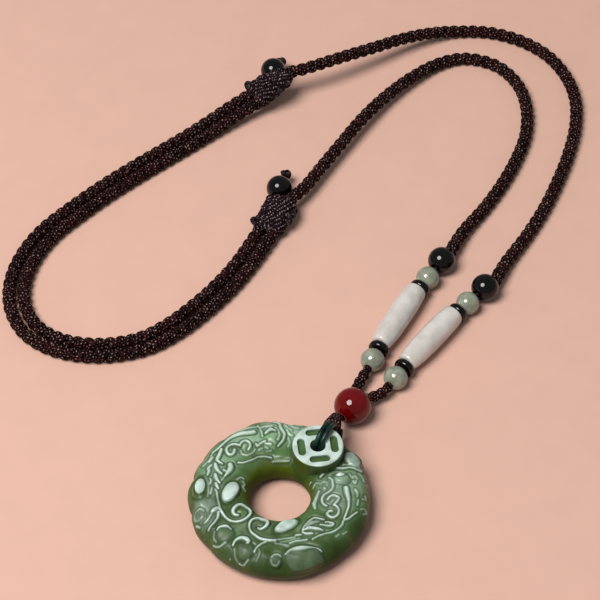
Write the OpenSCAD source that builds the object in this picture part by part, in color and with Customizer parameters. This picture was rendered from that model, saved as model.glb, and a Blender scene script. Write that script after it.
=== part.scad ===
// Carved jade ring pendant on an adjustable braided cord, lying on a flat surface.
// Millimetres. The origin is the centre of the ring's hole, halfway through its thickness.
// X runs to the right, Y away from the pendant along the cord, Z up.

/* [Jade ring] */
// Diameter of the ring over its side wall
ring_d = 48.4; // [44:0.1:54]
// Thickness of the ring from its resting face to its carved tops
ring_t = 10.5; // [9:0.1:13]
// Diameter of the ring's centre hole
hole_d = 16.6; // [14:0.1:19]
// Radius that rounds the outer edges
outer_round = 4.4; // [3:0.1:4.5]
// Radius that rounds the edges of the hole
inner_round = 2.8; // [1.5:0.1:3.5]
// Height of the carved relief above its ground
relief = 0.9; // [0.5:0.1:1.3]
// Width of a carved scroll line
scroll_w = 1.3; // [0.9:0.1:1.8]

/* [Coin] */
// Diameter of the coin on the ring's face
coin_d = 13.8; // [12:0.1:15]
// Height that the coin stands above the ring's carved tops
coin_rise = 2.8; // [1:0.1:4]
// Distance of the coin's centre from the ring's centre
coin_orbit = 15.5; // [15.4:0.1:17]
// Direction of the coin from the ring's centre, in degrees
coin_turn = 48.7; // [40:0.1:56]
// Bevel round the coin's top edge
coin_bevel = 0.5; // [0.2:0.1:1]
// Diameter of the round hole through the coin and the ring
coin_hole_d = 4.2; // [3.8:0.1:5]
// Length of each of the coin's four slots
slot_l = 5.4; // [4:0.1:6]
// Width of each slot
slot_w = 2; // [1.2:0.1:2.4]
// Depth of each slot
slot_deep = 0.9; // [0.4:0.1:1.6]
// Distance of each slot's middle from the coin's centre
slot_orbit = 4.4; // [4.1:0.1:4.9]
// Turn of the four slots about the coin's centre, in degrees
slot_turn = 7; // [0:1:45]
// Width of the groove under the ring that the hanging loop lies in
groove_w = 3.4; // [3.2:0.1:4]
// Depth of that groove
groove_deep = 2; // [1.9:0.1:2.6]

/* [Hanging loop] */
// Diameter of each of the loop's two strands
strand_d = 1.3; // [1:0.1:1.4]
// Largest diameter of the wound knot on the loop
knot_d = 4.4; // [3.6:0.1:4.8]
// Diameter of the wound knot where it meets the red bead
knot_tip_d = 2.6; // [2:0.1:3.4]

/* [Beads] */
// Diameter of the red bead
red_d = 10.4; // [9:0.1:11]
// Diameter of the green beads
green_d = 6.8; // [6:0.1:7.4]
// Diameter of the black beads on the legs
black_d = 8; // [7:0.1:8.6]
// Diameter of the black spacer discs
spacer_d = 6.1; // [5:0.1:6.8]
// Thickness of the spacer discs
spacer_t = 2; // [1.4:0.1:2.6]
// Length of the white barrel beads
barrel_l = 23; // [20:0.1:25]
// Diameter of a barrel bead at its middle
barrel_d = 7.2; // [6.4:0.1:8]
// Diameter of a barrel bead at its ends
barrel_end_d = 4.8; // [4:0.1:5.6]
// Diameter of the hole drilled through every bead
drill_d = 2.2; // [2:0.1:2.6]
// Diameter of the thread that the beads are strung on
thread_d = 1; // [0.8:0.1:1.2]

/* [Cords] */
// Diameter of the two braided neck cords
cord_d = 4; // [3.4:0.1:4.2]
// Diameter of the two short braids behind the red bead
braid_d = 3.2; // [2.6:0.1:3.4]

/* [Sliding knots] */
// Length of each sliding knot along the cord
wrap_l = 12.2; // [10:0.1:13]
// Thickness of the wound wall round the cords
wrap_wall = 0.75; // [0.5:0.05:0.9]
// Height that the cord climbs in the back sliding knot
back_rise = 4.2; // [3.4:0.1:4.6]
// Height that the cord climbs in the front sliding knot
front_rise = 2.1; // [1.4:0.1:2.6]
// Diameter of the black beads on the cord tails
end_bead_d = 7.8; // [7:0.1:8.2]
// Diameter of a tail where it leaves its sliding knot
tail_d = 3; // [2.2:0.1:3.2]
// Diameter of the stopper knots
stopper_d = 3.6; // [3:0.1:4.2]

/* [Fits] */
// Gap between neighbouring pieces
gap = 0.15; // [0.1:0.05:0.3]

/* [Hidden] */
$fn = 48;

ring_r = ring_d / 2;
hole_r = hole_d / 2;
floor_z = -ring_t / 2;
top_z = ring_t / 2;
ground_z = top_z - relief;
coin_top = top_z + coin_rise;
coin_at = coin_orbit * [cos(coin_turn), sin(coin_turn)];
over = 1;

// Section of the ring as [radius, height] points, up the hole's wall, over the face and down the side
edge_steps = 4;
function quarter(c, r, from) = [for (i = [0:edge_steps]) c + r * [cos(from - 90 * i / edge_steps),
    sin(from - 90 * i / edge_steps)]];
ring_section = concat(
    quarter([hole_r + inner_round, ground_z - inner_round], inner_round, 180),
    quarter([ring_r - outer_round, ground_z - outer_round], outer_round, 90),
    quarter([ring_r - outer_round, floor_z + outer_round], outer_round, 0),
    quarter([hole_r + inner_round, floor_z + inner_round], inner_round, 270));

// Height of the ring's ground at a distance r from its centre
inner_crest = hole_r + inner_round;
outer_crest = ring_r - outer_round;
function drop(r, reach) = r - sqrt(max(0, r * r - reach * reach));
function ground(r) = ground_z
    - (r < inner_crest ? drop(inner_round, min(inner_crest - r, inner_round)) : 0)
    - (r > outer_crest ? drop(outer_round, min(r - outer_crest, outer_round)) : 0);

// Carved work. A place on the face is [direction in degrees, share of the way from hole to side wall].
function on_face(p) = (hole_r + (ring_r - hole_r) * p[1]) * [cos(p[0]), sin(p[0])];

// Scroll lines as [shares of the scroll width at the two ends, places along the line]
scrolls = [
    // left beast: spine with its mane, back, cheek line, curls and chin
    [[0.8, 1.1], [[140, 0.75], [148, 0.73], [157, 0.68], [169, 0.63], [179, 0.60], [192, 0.60], [202, 0.60]]],
    [[0.9, 0.4], [[160, 0.66], [154, 0.57]]],
    [[0.9, 0.4], [[169, 0.61], [164, 0.51]]],
    [[0.9, 0.4], [[179, 0.58], [175, 0.47]]],
    [[0.9, 0.4], [[189, 0.56], [186, 0.45]]],
    [[1.3, 0.5], [[109, 0.71], [120, 0.80], [127, 0.83], [135, 0.85], [145, 0.82], [157, 0.84]]],
    [[0.7, 0.7], [[92, 0.40], [88, 0.47], [86, 0.61], [88, 0.76], [92, 0.86]]],
    [[0.6, 0.7], [[132, 0.57], [139, 0.57], [139, 0.66], [135, 0.71], [132, 0.67], [128, 0.59], [124, 0.62],
        [120, 0.60], [119, 0.49], [123, 0.42], [126, 0.47]]],
    [[0.6, 0.6], [[142, 0.35], [129, 0.24], [117, 0.21], [105, 0.19]]],
    [[0.5, 0.6], [[112, 0.47], [106, 0.50], [100, 0.47], [95, 0.38]]],
    [[0.6, 0.6], [[102, 0.12], [88, 0.10], [76, 0.11]]],
    // cloud scrolls at the front
    [[1.2, 0.9], [[202, 0.60], [206, 0.55], [213, 0.50], [222, 0.44], [227, 0.32], [225, 0.19], [214, 0.17],
        [207, 0.23], [207, 0.33], [211, 0.37], [217, 0.34]]],
    [[1.0, 0.8], [[266, 0.52], [256, 0.51], [247, 0.47], [238, 0.38], [235, 0.25], [240, 0.17], [251, 0.16],
        [257, 0.23], [252, 0.31], [247, 0.31]]],
    [[0.9, 0.5], [[204, 0.62], [207, 0.72], [209, 0.83]]],
    [[0.9, 0.5], [[205, 0.60], [211, 0.69], [214, 0.80]]],
    [[0.9, 0.5], [[258, 0.53], [253, 0.65], [251, 0.76]]],
    [[0.5, 0.5], [[217, 0.81], [220, 0.70], [227, 0.66], [231, 0.72]]],
    [[0.5, 0.5], [[237, 0.84], [240, 0.72], [246, 0.68], [250, 0.73]]],
    // right beast: brow, cheek curls, jaw, rib and the long tail
    [[0.7, 0.8], [[19, 0.22], [24, 0.31], [25, 0.42], [23, 0.58], [21, 0.72], [16, 0.84]]],
    [[0.7, 0.9], [[14, 0.33], [7, 0.36], [-2, 0.33], [-10, 0.26], [-18, 0.24], [-25, 0.29], [-23, 0.37]]],
    [[0.5, 0.7], [[-15, 0.32], [-12, 0.39], [-12, 0.48], [-18, 0.49], [-21, 0.42]]],
    [[0.7, 0.8], [[-21, 0.43], [-23, 0.54], [-28, 0.58], [-33, 0.53], [-32, 0.43]]],
    [[1.3, 0.6], [[0, 0.58], [-12, 0.65], [-23, 0.69], [-28, 0.68]]],
    [[1.2, 0.5], [[-7, 0.13], [-20, 0.12], [-33, 0.14]]],
    [[0.7, 1.0], [[-20, 0.80], [-26, 0.77], [-34, 0.73], [-44, 0.71], [-54, 0.64], [-69, 0.55], [-83, 0.54],
        [-94, 0.52]]],
    [[0.5, 0.6], [[-57, 0.57], [-69, 0.66], [-83, 0.60], [-94, 0.60]]]
];

// Bosses as [direction, share across, length, width, turn from the direction outward, height], with the
// length and width as shares of the band from hole to side wall and the height as a share of the relief
bosses = [
    // left beast: brow, snout and cheek, then the flank and the haunch
    [98, 0.66, 0.20, 0.15, 20, 1.0], [103, 0.44, 0.30, 0.17, 80, 0.8], [152, 0.42, 0.24, 0.13, 0, 1.0],
    [178, 0.80, 0.21, 0.33, 0, 1.1], [185, 0.29, 0.42, 0.28, 48, 1.1], [200, 0.86, 0.24, 0.24, 0, 0.9],
    // pearls and haunches of the front
    [225, 0.78, 0.26, 0.26, 0, 1.0], [244, 0.80, 0.26, 0.26, 0, 1.0], [268, 0.82, 0.24, 0.24, 0, 1.0],
    [288, 0.78, 0.34, 0.58, 0, 1.2], [279, 0.24, 0.42, 0.18, -50, 1.1],
    // wing feathers
    [305, 0.36, 0.34, 0.11, 60, 1.0], [312, 0.44, 0.34, 0.11, 66, 1.0], [310, 0.57, 0.34, 0.10, 72, 0.8],
    // right beast: eye, cheek and shoulder
    [13, 0.54, 0.26, 0.22, 0, 1.2], [352, 0.84, 0.20, 0.24, 0, 0.9], [29, 0.84, 0.20, 0.32, 0, 0.9]
];

// Route of the hanging loop's strands from the coin's centre, as [distance, height]: over the coin and down
// its hole with heights above the coin's face, then along the groove and up outside the ring with heights
// above the resting face, and last up to the knot, measured from the coin's face again. The loop turns down
// beyond the side wall, or beyond the coin where that reaches further.
loop_turn = 61.3;
coin_clear = 1.2;
loop_edge = max(ring_r - coin_orbit, coin_d / 2 + coin_clear);
loop_front = [[loop_edge + 0.4, -0.95], [loop_edge - 1, 0.55], [5.5, 1.85], [3, 1.65], [1.2, 0.55],
    [0.3, -1.85]];
loop_back = [[0.2, 4.65], [0.6, 1.85], [1.9, 0.85], [5, 0.85], [loop_edge - 0.7, 0.85],
    [loop_edge + 1.5, 1.55], [loop_edge + 2.7, 3.45]];
loop_end = [loop_edge + 3, -6.8];
loop_heights = concat([for (p = loop_front) [p[0], coin_top + p[1]]],
    [for (p = loop_back) [p[0], floor_z + p[1]]], [[loop_end[0], coin_top + loop_end[1]]]);
loop_dir = [cos(loop_turn), sin(loop_turn), 0];
loop_side = [sin(loop_turn), -cos(loop_turn), 0];
strand_pitch = strand_d + gap;

// Where the loop leaves the ring. Every place on the floor below is measured from here, so the whole necklace
// keeps with the ring.
hang_at = coin_at + loop_edge * [cos(loop_turn), sin(loop_turn)];

// The wound knot of the hanging loop, and the red bead behind it
knot_from = concat(hang_at, coin_top - 1.75) + 0.6 * loop_dir;
red_turn = 52;
red_dir = [cos(red_turn), sin(red_turn), 0];
red_at = concat(hang_at + [5.6, 11.7], floor_z + red_d / 2);
knot_reach = red_d / 2 + gap + knot_tip_d / 2;
knot_to = red_at + knot_reach * unit([-0.70, -0.70, 0.16]);

// Each leg of beads lies on a slight arc: the first bead's place, the heading there and the arc's radius
leg_left = [[11.45, 29.3], 66, 210];
leg_right = [[17.8, 22.9], 56.5, 210];
// The thread runs at one height; a bead rests on the floor, or hangs on the thread when it is smaller
play = (drill_d - thread_d) / 2 - gap;
thread_h = max(barrel_d / 2, black_d / 2 - play, green_d / 2 - play);
function rest_h(d) = max(d / 2, thread_h - play);

// Places along a leg, measured from the middle of its low green bead. The long barrel is straight where the
// leg curves, so it stands off its spacers.
barrel_gap = 2 * gap;
at_spacer_low = green_d / 2 + gap + spacer_t / 2;
at_barrel = at_spacer_low + spacer_t / 2 + barrel_gap + barrel_l / 2;
at_spacer_high = at_barrel + barrel_l / 2 + barrel_gap + spacer_t / 2;
at_green_high = at_spacer_high + spacer_t / 2 + gap + green_d / 2;
at_black = at_green_high + green_d / 2 + gap + black_d / 2;
leg_low = -green_d / 2;
leg_high = at_black + black_d / 2;

// Clearance where the square end of a cord or braid meets a round bead at an angle
stand = 2.5 * gap;

// Turn of a leg's arc after `reach`, and the place there
function leg_bend(leg, reach) = reach / leg[2] * 180 / PI;
function leg_spot(leg, reach) = let (bend = leg_bend(leg, reach), turn = leg[1] - bend / 2,
    chord = 2 * leg[2] * sin(bend / 2))
    hang_at + leg[0] + chord * [cos(turn), sin(turn)];

// The short braids, from the red bead to the two legs: the direction away from the red bead, then places
// as [x, y, lift]
braid_left_dir = [1.1, 5.6, -1.4];
braid_left = [[7, 20.2, 1.4], [8.5, 23, 1.7]];
braid_right_dir = [4.6, 4.3, -1.4];
braid_right = [[12.5, 17.1, 1.3], [14.5, 18.3, 1.7]];
braid_shares = [0.8, 1, 1, 0.9];

// Routes of the neck cords from their legs, as [x, y, lift]
outer_lead = [[51.6, 66.7, 0.6], [58.1, 77.2, 0], [64.1, 88.2, 0], [69.1, 99.7, 0], [73.1, 110.7, 0],
    [76.1, 122.2, 0], [77.1, 133.7, 0], [75.1, 144.2, 0], [70.1, 153.7, 0], [62.1, 160.7, 0],
    [52.1, 164.7, 0], [41.6, 165, 0.2], [32.6, 161.9, 2.3], [23.6, 157.3, 4.2], [14.6, 151.7, 5.8],
    [5.1, 146, 7.4], [-2.9, 141.7, 8.1], [-7.9, 139.6, 8]];
inner_lead = [[39.6, 78.7, 0.6], [46.1, 88.2, 0], [52.1, 98.2, 0], [57.1, 108.7, 0], [60.6, 119.2, 0],
    [61.6, 130.2, 0], [59.6, 140.7, 0], [53.6, 149.2, 0], [44.1, 152.7, 0], [35.1, 150, 0.4],
    [26.1, 142.7, 1.3], [17.6, 133.4, 2], [10.2, 123.2, 2.6], [3.1, 112, 2.4], [-2.9, 102.3, 2.3],
    [-7.4, 94.7, 2.5]];
// The two cords run side by side between the sliding knots, each half a pitch from this middle line
double_run = [[-28.9, 127.7, 2.1], [-34.9, 123.1, 0.9], [-41.9, 117.4, 0.1], [-49.4, 111.2, 0],
    [-58.4, 103.7, 0], [-67.4, 95.7, 0], [-75.9, 87.2, 0], [-83.4, 78.7, 0], [-88.4, 69.7, 0],
    [-90.9, 60.2, 0], [-90.4, 50.7, 0], [-86.4, 42.2, 0], [-79.4, 36.7, 0], [-70.9, 34.2, 0],
    [-61.9, 34.2, 0], [-52.9, 36.7, 0], [-44.9, 42.2, 0], [-37.4, 49.7, 0], [-30.9, 57.7, 0],
    [-25.4, 66.2, 0]];

cord_pitch = cord_d + 2 * gap;
wrap_h = cord_d + 2 * (gap + wrap_wall);
half_wrap = wrap_l / 2;
pocket_end = -1;
cord_sides = 8;
cord_vertex_r = cord_d / 2 / cos(180 / cord_sides);

// Each sliding knot as [middle, turn, lift of its near end, climb along it, its end bead's middle beyond the
// far end, to the left and above lying, how far along the half length the tail leaves]
back_knot = [[-18.5, 135.7], 40.5, 2.4, back_rise, [0.2, 5.6, 1.3], 0];
front_knot = [[-16.3, 84], 65.5, 0, front_rise, [end_bead_d / 2 + 2 * gap, 3.4, 0], 1];

function unit(v) = v / norm(v);
function middle(points, i) = unit(points[min(i + 1, len(points) - 1)] - points[max(i - 1, 0)]);
function reversed(list) = [for (i = [len(list) - 1:-1:0]) list[i]];
function spread(ends, count) = [for (i = [0:count - 1]) ends[0] + (ends[1] - ends[0]) * i / (count - 1)];

// A smooth curve through points, with `steps` places in each span
function curve(p, steps) = [for (i = [0:len(p) - 2]) for (k = [0:steps - 1]) span(p, i, k / steps),
    p[len(p) - 1]];
function span(p, i, t) = let (
    a = p[max(i - 1, 0)],
    b = p[i],
    c = p[i + 1],
    d = p[min(i + 2, len(p) - 1)])
    b + t / 2 * (c - a + t * (2 * a - 5 * b + 4 * c - d + t * (3 * b - a - 3 * c + d)));

// A closed skin over rings of `sides` points each, listed one ring after the other
module skin(points, sides) {
    last = len(points) / sides - 1;
    walls = [for (i = [0:last - 1]) for (k = [0:sides - 1])
        let (n = (k + 1) % sides)
        [i * sides + k, (i + 1) * sides + k, (i + 1) * sides + n, i * sides + n]];
    start = [for (k = [0:sides - 1]) k];
    finish = [for (k = [sides - 1:-1:0]) last * sides + k];
    polyhedron(points, concat([start], walls, [finish]));
}

// A tube through the route's own points, with its rings kept square to the direction `level`
module tube(route, radii, sides, level = [0, 0, 1]) {
    points = [for (i = [0:len(route) - 1])
        let (along = middle(route, i), side = unit(cross(level, along)), rise = cross(along, side))
        for (k = [0:sides - 1])
            let (a = 360 * (k + 0.5) / sides)
            route[i] + radii[i] * (cos(a) * side + sin(a) * rise)];
    skin(points, sides);
}

// Stands its children, drawn along Z from the origin, on the line from a to b
module along(a, b) {
    v = b - a;
    translate(a)
        rotate([0, acos(v[2] / norm(v)), atan2(v[1], v[0])])
            children();
}

module rod(a, b, r1, r2) {
    along(a, b)
        cylinder(h = norm(b - a), r1 = r1, r2 = r2);
}

// A scroll line of the carving: a rounded ridge that follows the face, with its foot below the ground.
// Its section is [share of the line's width to the left, share of the relief]. Each foot has a depth of its
// own, so that lines that cross share no plane.
ridge_top = [[0.4, 0.6], [0, 0.95], [-0.4, 0.6]];
foot_depth = 0.5;
foot_step = 0.017;
module scroll_line(ends, places, depth) {
    ridge_section = concat([[0.5, -depth]], ridge_top, [[-0.5, -depth]]);
    route = curve([for (p = places) on_face(p)], 2);
    widths = spread(ends * scroll_w, len(route));
    points = [for (i = [0:len(route) - 1])
        let (along = middle(route, i), foot = ground(norm(route[i])))
        for (p = ridge_section)
            concat(route[i] + p[0] * widths[i] * [-along[1], along[0]], foot + p[1] * relief)];
    skin(points, len(ridge_section));
}

// A domed boss of the carving, oval in plan, as tiers of [share of its size, share of its height]
boss_sides = 14;
boss_tiers = [[1, 0], [0.86, 0.55], [0.5, 0.9]];
boss_depth = 1.2;
boss_step = 0.03;
module boss(length, width, height, depth) {
    skin([for (tier = concat([[1, -depth]], boss_tiers)) for (k = [0:boss_sides - 1])
        let (a = 360 * k / boss_sides)
        [tier[0] * length / 2 * cos(a), tier[0] * width / 2 * sin(a), tier[1] * height]], boss_sides);
}

module bosses_on_face() {
    band = ring_r - hole_r;
    for (i = [0:len(bosses) - 1]) {
        b = bosses[i];
        place = on_face([b[0], b[1]]);
        translate([place[0], place[1], ground(norm(place))])
            rotate([0, 0, b[0] + b[4]])
                boss(b[2] * band, b[3] * band, b[5] * relief, boss_depth + boss_step * i);
    }
}

module coin_blank() {
    translate([coin_at[0], coin_at[1], 0]) {
        cylinder(h = coin_top - coin_bevel, d = coin_d);
        translate([0, 0, coin_top - coin_bevel])
            cylinder(h = coin_bevel, d1 = coin_d, d2 = coin_d - 2 * coin_bevel);
    }
}

module coin_cuts() {
    translate([coin_at[0], coin_at[1], 0]) {
        translate([0, 0, floor_z - over])
            cylinder(h = coin_top - floor_z + 2 * over, d = coin_hole_d);
        for (i = [0:3])
            rotate([0, 0, slot_turn + 90 * i])
                translate([slot_orbit, 0, coin_top - slot_deep])
                    linear_extrude(slot_deep + over)
                        slot_outline();
    }
}

module slot_outline() {
    run = (slot_l - slot_w) / 2;
    square([slot_w, 2 * run], center = true);
    for (y = [-run, run])
        translate([0, y])
            circle(d = slot_w);
}

module loop_groove() {
    translate([coin_at[0], coin_at[1], floor_z - over])
        rotate([0, 0, loop_turn])
            translate([-groove_w / 2, -groove_w / 2, 0])
                cube([ring_r, groove_w, groove_deep + over]);
}

module jade_ring() {
    color("darkseagreen")
        difference() {
            union() {
                rotate_extrude($fn = 120)
                    polygon(ring_section);
                coin_blank();
                bosses_on_face();
                for (i = [0:len(scrolls) - 1])
                    scroll_line(scrolls[i][0], scrolls[i][1], foot_depth + foot_step * i);
            }
            translate([0, 0, floor_z - over])
                cylinder(h = ring_t + coin_rise + 2 * over, r = hole_r, $fn = 120);
            coin_cuts();
            loop_groove();
        }
}

function loop_point(p, side) = concat(coin_at, 0) + p[0] * loop_dir + side * strand_pitch / 2 * loop_side
    + [0, 0, p[1]];

module loop_strand(side) {
    route = [for (p = loop_heights) loop_point(p, side)];
    color("darkslategray")
        tube(route, [for (p = route) strand_d / 2], 8, loop_side);
}

// The wound knot: turns of cord side by side, thinner towards the red bead
knot_ridges = 5;
knot_valley = 0.3;
module loop_knot() {
    reach = norm(knot_to - knot_from);
    steps = 2 * knot_ridges;
    radii = spread([knot_d / 2, knot_tip_d / 2], steps + 1);
    color("dimgray")
        along(knot_from, knot_to)
            rotate_extrude()
                polygon(concat([[0, 0]],
                    [for (i = [0:steps]) [radii[i] - (i % 2 == 0 ? knot_valley : 0), reach * i / steps]],
                    [[0, reach]]));
}

// A drilled bead about the Z axis, turned from its own outline
module drilled(d) {
    rotate_extrude()
        intersection() {
            circle(d = d);
            translate([drill_d / 2, -d / 2])
                square([d / 2, d]);
        }
}

module bead(at, turn, d) {
    translate(at)
        rotate([0, 0, turn])
            rotate([0, 90, 0])
                drilled(d);
}

module red_bead() {
    color("firebrick")
        bead(red_at, red_turn, red_d);
}

module red_bead_cord() {
    half = red_d / 2 + gap;
    color("saddlebrown")
        rod(red_at - half * red_dir, red_at + half * red_dir, thread_d / 2, thread_d / 2);
}

module braid(away, places, leg) {
    start = red_at + (red_d / 2 + stand) * unit(away);
    finish = concat(leg_spot(leg, leg_low - stand), floor_z + thread_h);
    route = concat([start], [for (p = places) lying(p, braid_d)], [finish]);
    radii = [for (share = braid_shares) share * braid_d / 2];
    color("saddlebrown")
        tube(route, radii, 8);
}

// Puts its children on a leg, `reach` along it, with the X axis along the thread and the Z axis up
module on_leg(leg, reach, height) {
    spot = leg_spot(leg, reach);
    translate([spot[0], spot[1], floor_z + height])
        rotate([0, 0, leg[1] - leg_bend(leg, reach)])
            children();
}

module leg_bead(leg, reach, d) {
    on_leg(leg, reach, rest_h(d))
        bead([0, 0, 0], 0, d);
}

module green_bead(leg, reach) {
    color("darkseagreen")
        leg_bead(leg, reach, green_d);
}

module black_bead(leg) {
    color("black")
        leg_bead(leg, at_black, black_d);
}

// Half of a spacer's outline as [share of the half thickness, share of the radius]
spacer_outline = [[1, 0.83], [0.72, 0.98], [0.4, 1], [-0.4, 1], [-0.72, 0.98], [-1, 0.83]];
module spacer(leg, reach) {
    color("black")
        on_leg(leg, reach, rest_h(spacer_d))
            rotate([0, 90, 0])
                rotate_extrude()
                    polygon(concat(
                        [[drill_d / 2, -spacer_t / 2], [drill_d / 2, spacer_t / 2]],
                        [for (p = spacer_outline) [p[1] * spacer_d / 2, p[0] * spacer_t / 2]]));
}

barrel_steps = 12;
barrel_fullness = 2.4;
module barrel(leg) {
    shrink = (barrel_d - barrel_end_d) / 2;
    color("gainsboro")
        on_leg(leg, at_barrel, rest_h(barrel_d))
            rotate([0, 90, 0])
                rotate_extrude()
                    polygon(concat(
                        [[drill_d / 2, barrel_l / 2], [drill_d / 2, -barrel_l / 2]],
                        [for (i = [0:barrel_steps])
                            let (s = 2 * i / barrel_steps - 1)
                            [barrel_d / 2 - shrink * pow(abs(s), barrel_fullness), s * barrel_l / 2]]));
}

module thread(leg) {
    sweep = leg_bend(leg, leg_high - leg_low);
    color("saddlebrown")
        on_leg(leg, leg_low, thread_h)
            translate([0, -leg[2], 0])
                rotate([0, 0, 90 - sweep])
                    rotate_extrude(angle = sweep, $fn = 720)
                        translate([leg[2], 0])
                            circle(d = thread_d, $fn = 24);
}

// A sliding knot's own frame: X along the passing cord, Y to its left, origin on the floor below its middle
module at_knot(knot) {
    translate(concat(hang_at + knot[0], floor_z))
        rotate([0, 0, knot[1]])
            children();
}

// Height of the cords' middle in a sliding knot, `x` along it
function knot_z(knot, x) = wrap_h / 2 + knot[2] + knot[3] * (x / wrap_l + 0.5);
function knot_point(knot, x, y) = let (c = cos(knot[1]), s = sin(knot[1]))
    concat(hang_at + knot[0] + [x * c - y * s, x * s + y * c], floor_z + knot_z(knot, x));

// Where a cord's tail begins, its end bead's middle and the direction between them, in the knot's own frame
function tail_from(knot) = [pocket_end + gap, cord_pitch / 2, knot_z(knot, pocket_end)];
function bead_in(knot) = [half_wrap + knot[4][0], knot[4][1], end_bead_d / 2 + knot[4][2]];
function tail_dir(knot) = unit(bead_in(knot) - tail_from(knot));

disc_t = 0.5;
module disc(x, y, z, d) {
    translate([x, y, z])
        rotate([0, 90, 0])
            cylinder(h = disc_t, d = d, $fn = 24);
}

module wrap(knot) {
    cord_bore = cord_vertex_r + gap;
    tail_bore = tail_d / 2 + 2 * gap;
    side = [0, cord_pitch / 2, 0];
    near = [-half_wrap - over, 0, knot_z(knot, -half_wrap - over)];
    far = [half_wrap + over, 0, knot_z(knot, half_wrap + over)];
    tail = tail_from(knot);
    dir = tail_dir(knot);
    out_x = knot[5] * half_wrap - disc_t;
    out = tail + dir * (out_x - tail[0]) / dir[0];
    color("dimgray")
        at_knot(knot)
            difference() {
                hull() {
                    for (y = [-cord_pitch / 2, cord_pitch / 2])
                        disc(-half_wrap, y, knot_z(knot, -half_wrap), wrap_h);
                    disc(half_wrap - disc_t, -cord_pitch / 2, knot_z(knot, half_wrap), wrap_h);
                    disc(out[0], out[1], out[2], 2 * (tail_bore + wrap_wall));
                }
                rod(near - side, far - side, cord_bore, cord_bore);
                rod(near + side, tail, cord_bore, cord_bore);
                rod(tail, tail + dir * 2 * wrap_l, tail_bore, tail_bore);
            }
}

module end_neck(knot) {
    dir = tail_dir(knot);
    facing = dir * unit([wrap_l, 0, knot[3]]);
    lean = sqrt(1 - facing * facing) / facing;
    start = tail_from(knot) + dir * lean * tail_d / 2;
    finish = bead_in(knot) - dir * (end_bead_d / 2 + gap);
    tip = bead_in(knot) + dir * end_bead_d / 2;
    color("dimgray")
        at_knot(knot) {
            rod(start, finish, tail_d / 2, thread_d / 2 + gap);
            rod(finish - dir * gap, tip, thread_d / 2, thread_d / 2);
        }
}

module end_bead(knot) {
    color("black")
        at_knot(knot)
            along(bead_in(knot), bead_in(knot) + tail_dir(knot))
                drilled(end_bead_d);
}

module end_knot(knot) {
    color("dimgray")
        at_knot(knot)
            translate(bead_in(knot) + tail_dir(knot) * (end_bead_d / 2 + gap + stopper_d / 2))
                sphere(d = stopper_d);
}

// A place as [x, y, lift above lying on the floor], for a piece of diameter d
function lying(p, d = cord_d) = concat(hang_at + [p[0], p[1]], floor_z + d / 2 + p[2]);
function beside(run, offset) = [for (i = [0:len(run) - 1])
    let (d = middle(run, i))
    lying(run[i] + offset * [-d[1], d[0], 0])];
function cord_start(leg) = concat(leg_spot(leg, leg_high + stand), floor_z + thread_h);

// The route through a knot for the passing cord, and into a knot's pocket for the cord that ends there
knot_out = half_wrap + 0.6;
function passing(knot) = [for (x = [knot_out, -knot_out]) knot_point(knot, x, -cord_pitch / 2)];
function pocket(knot) = [for (x = [-knot_out, pocket_end]) knot_point(knot, x, cord_pitch / 2)];
outer_route = concat([cord_start(leg_right)], [for (p = outer_lead) lying(p)], passing(back_knot),
    beside(double_run, cord_pitch / 2), pocket(front_knot));
inner_route = concat([cord_start(leg_left)], [for (p = inner_lead) lying(p)], passing(front_knot),
    reversed(beside(double_run, -cord_pitch / 2)), pocket(back_knot));

module neck_cord(route) {
    color("saddlebrown")
        tube(route, [for (p = route) cord_vertex_r], cord_sides);
}

jade_ring();
loop_strand(-1);  // loop_strand_left
loop_strand(1);  // loop_strand_right
loop_knot();
red_bead();
red_bead_cord();
braid(braid_left_dir, braid_left, leg_left);  // left_braid
braid(braid_right_dir, braid_right, leg_right);  // right_braid
green_bead(leg_left, 0);  // left_green_bead_low
spacer(leg_left, at_spacer_low);  // left_spacer_low
barrel(leg_left);  // left_barrel
spacer(leg_left, at_spacer_high);  // left_spacer_high
green_bead(leg_left, at_green_high);  // left_green_bead_high
black_bead(leg_left);  // left_black_bead
thread(leg_left);  // left_thread
green_bead(leg_right, 0);  // right_green_bead_low
spacer(leg_right, at_spacer_low);  // right_spacer_low
barrel(leg_right);  // right_barrel
spacer(leg_right, at_spacer_high);  // right_spacer_high
green_bead(leg_right, at_green_high);  // right_green_bead_high
black_bead(leg_right);  // right_black_bead
thread(leg_right);  // right_thread
neck_cord(outer_route);  // outer_cord
neck_cord(inner_route);  // inner_cord
wrap(back_knot);  // back_wrap
end_neck(back_knot);  // back_end_neck
end_bead(back_knot);  // back_end_bead
end_knot(back_knot);  // back_end_knot
wrap(front_knot);  // front_wrap
end_neck(front_knot);  // front_end_neck
end_bead(front_knot);  // front_end_bead
end_knot(front_knot);  // front_end_knot
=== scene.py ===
"""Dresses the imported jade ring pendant: the carved ring, its beads, braids, neck cords and sliding knots.

Places and sizes inside the functions are millimetres in the part's own frame, as in its source: the origin is
the centre of the ring's hole, X runs right, Y away along the necklace and Z up.
"""

from functools import partial

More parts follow.
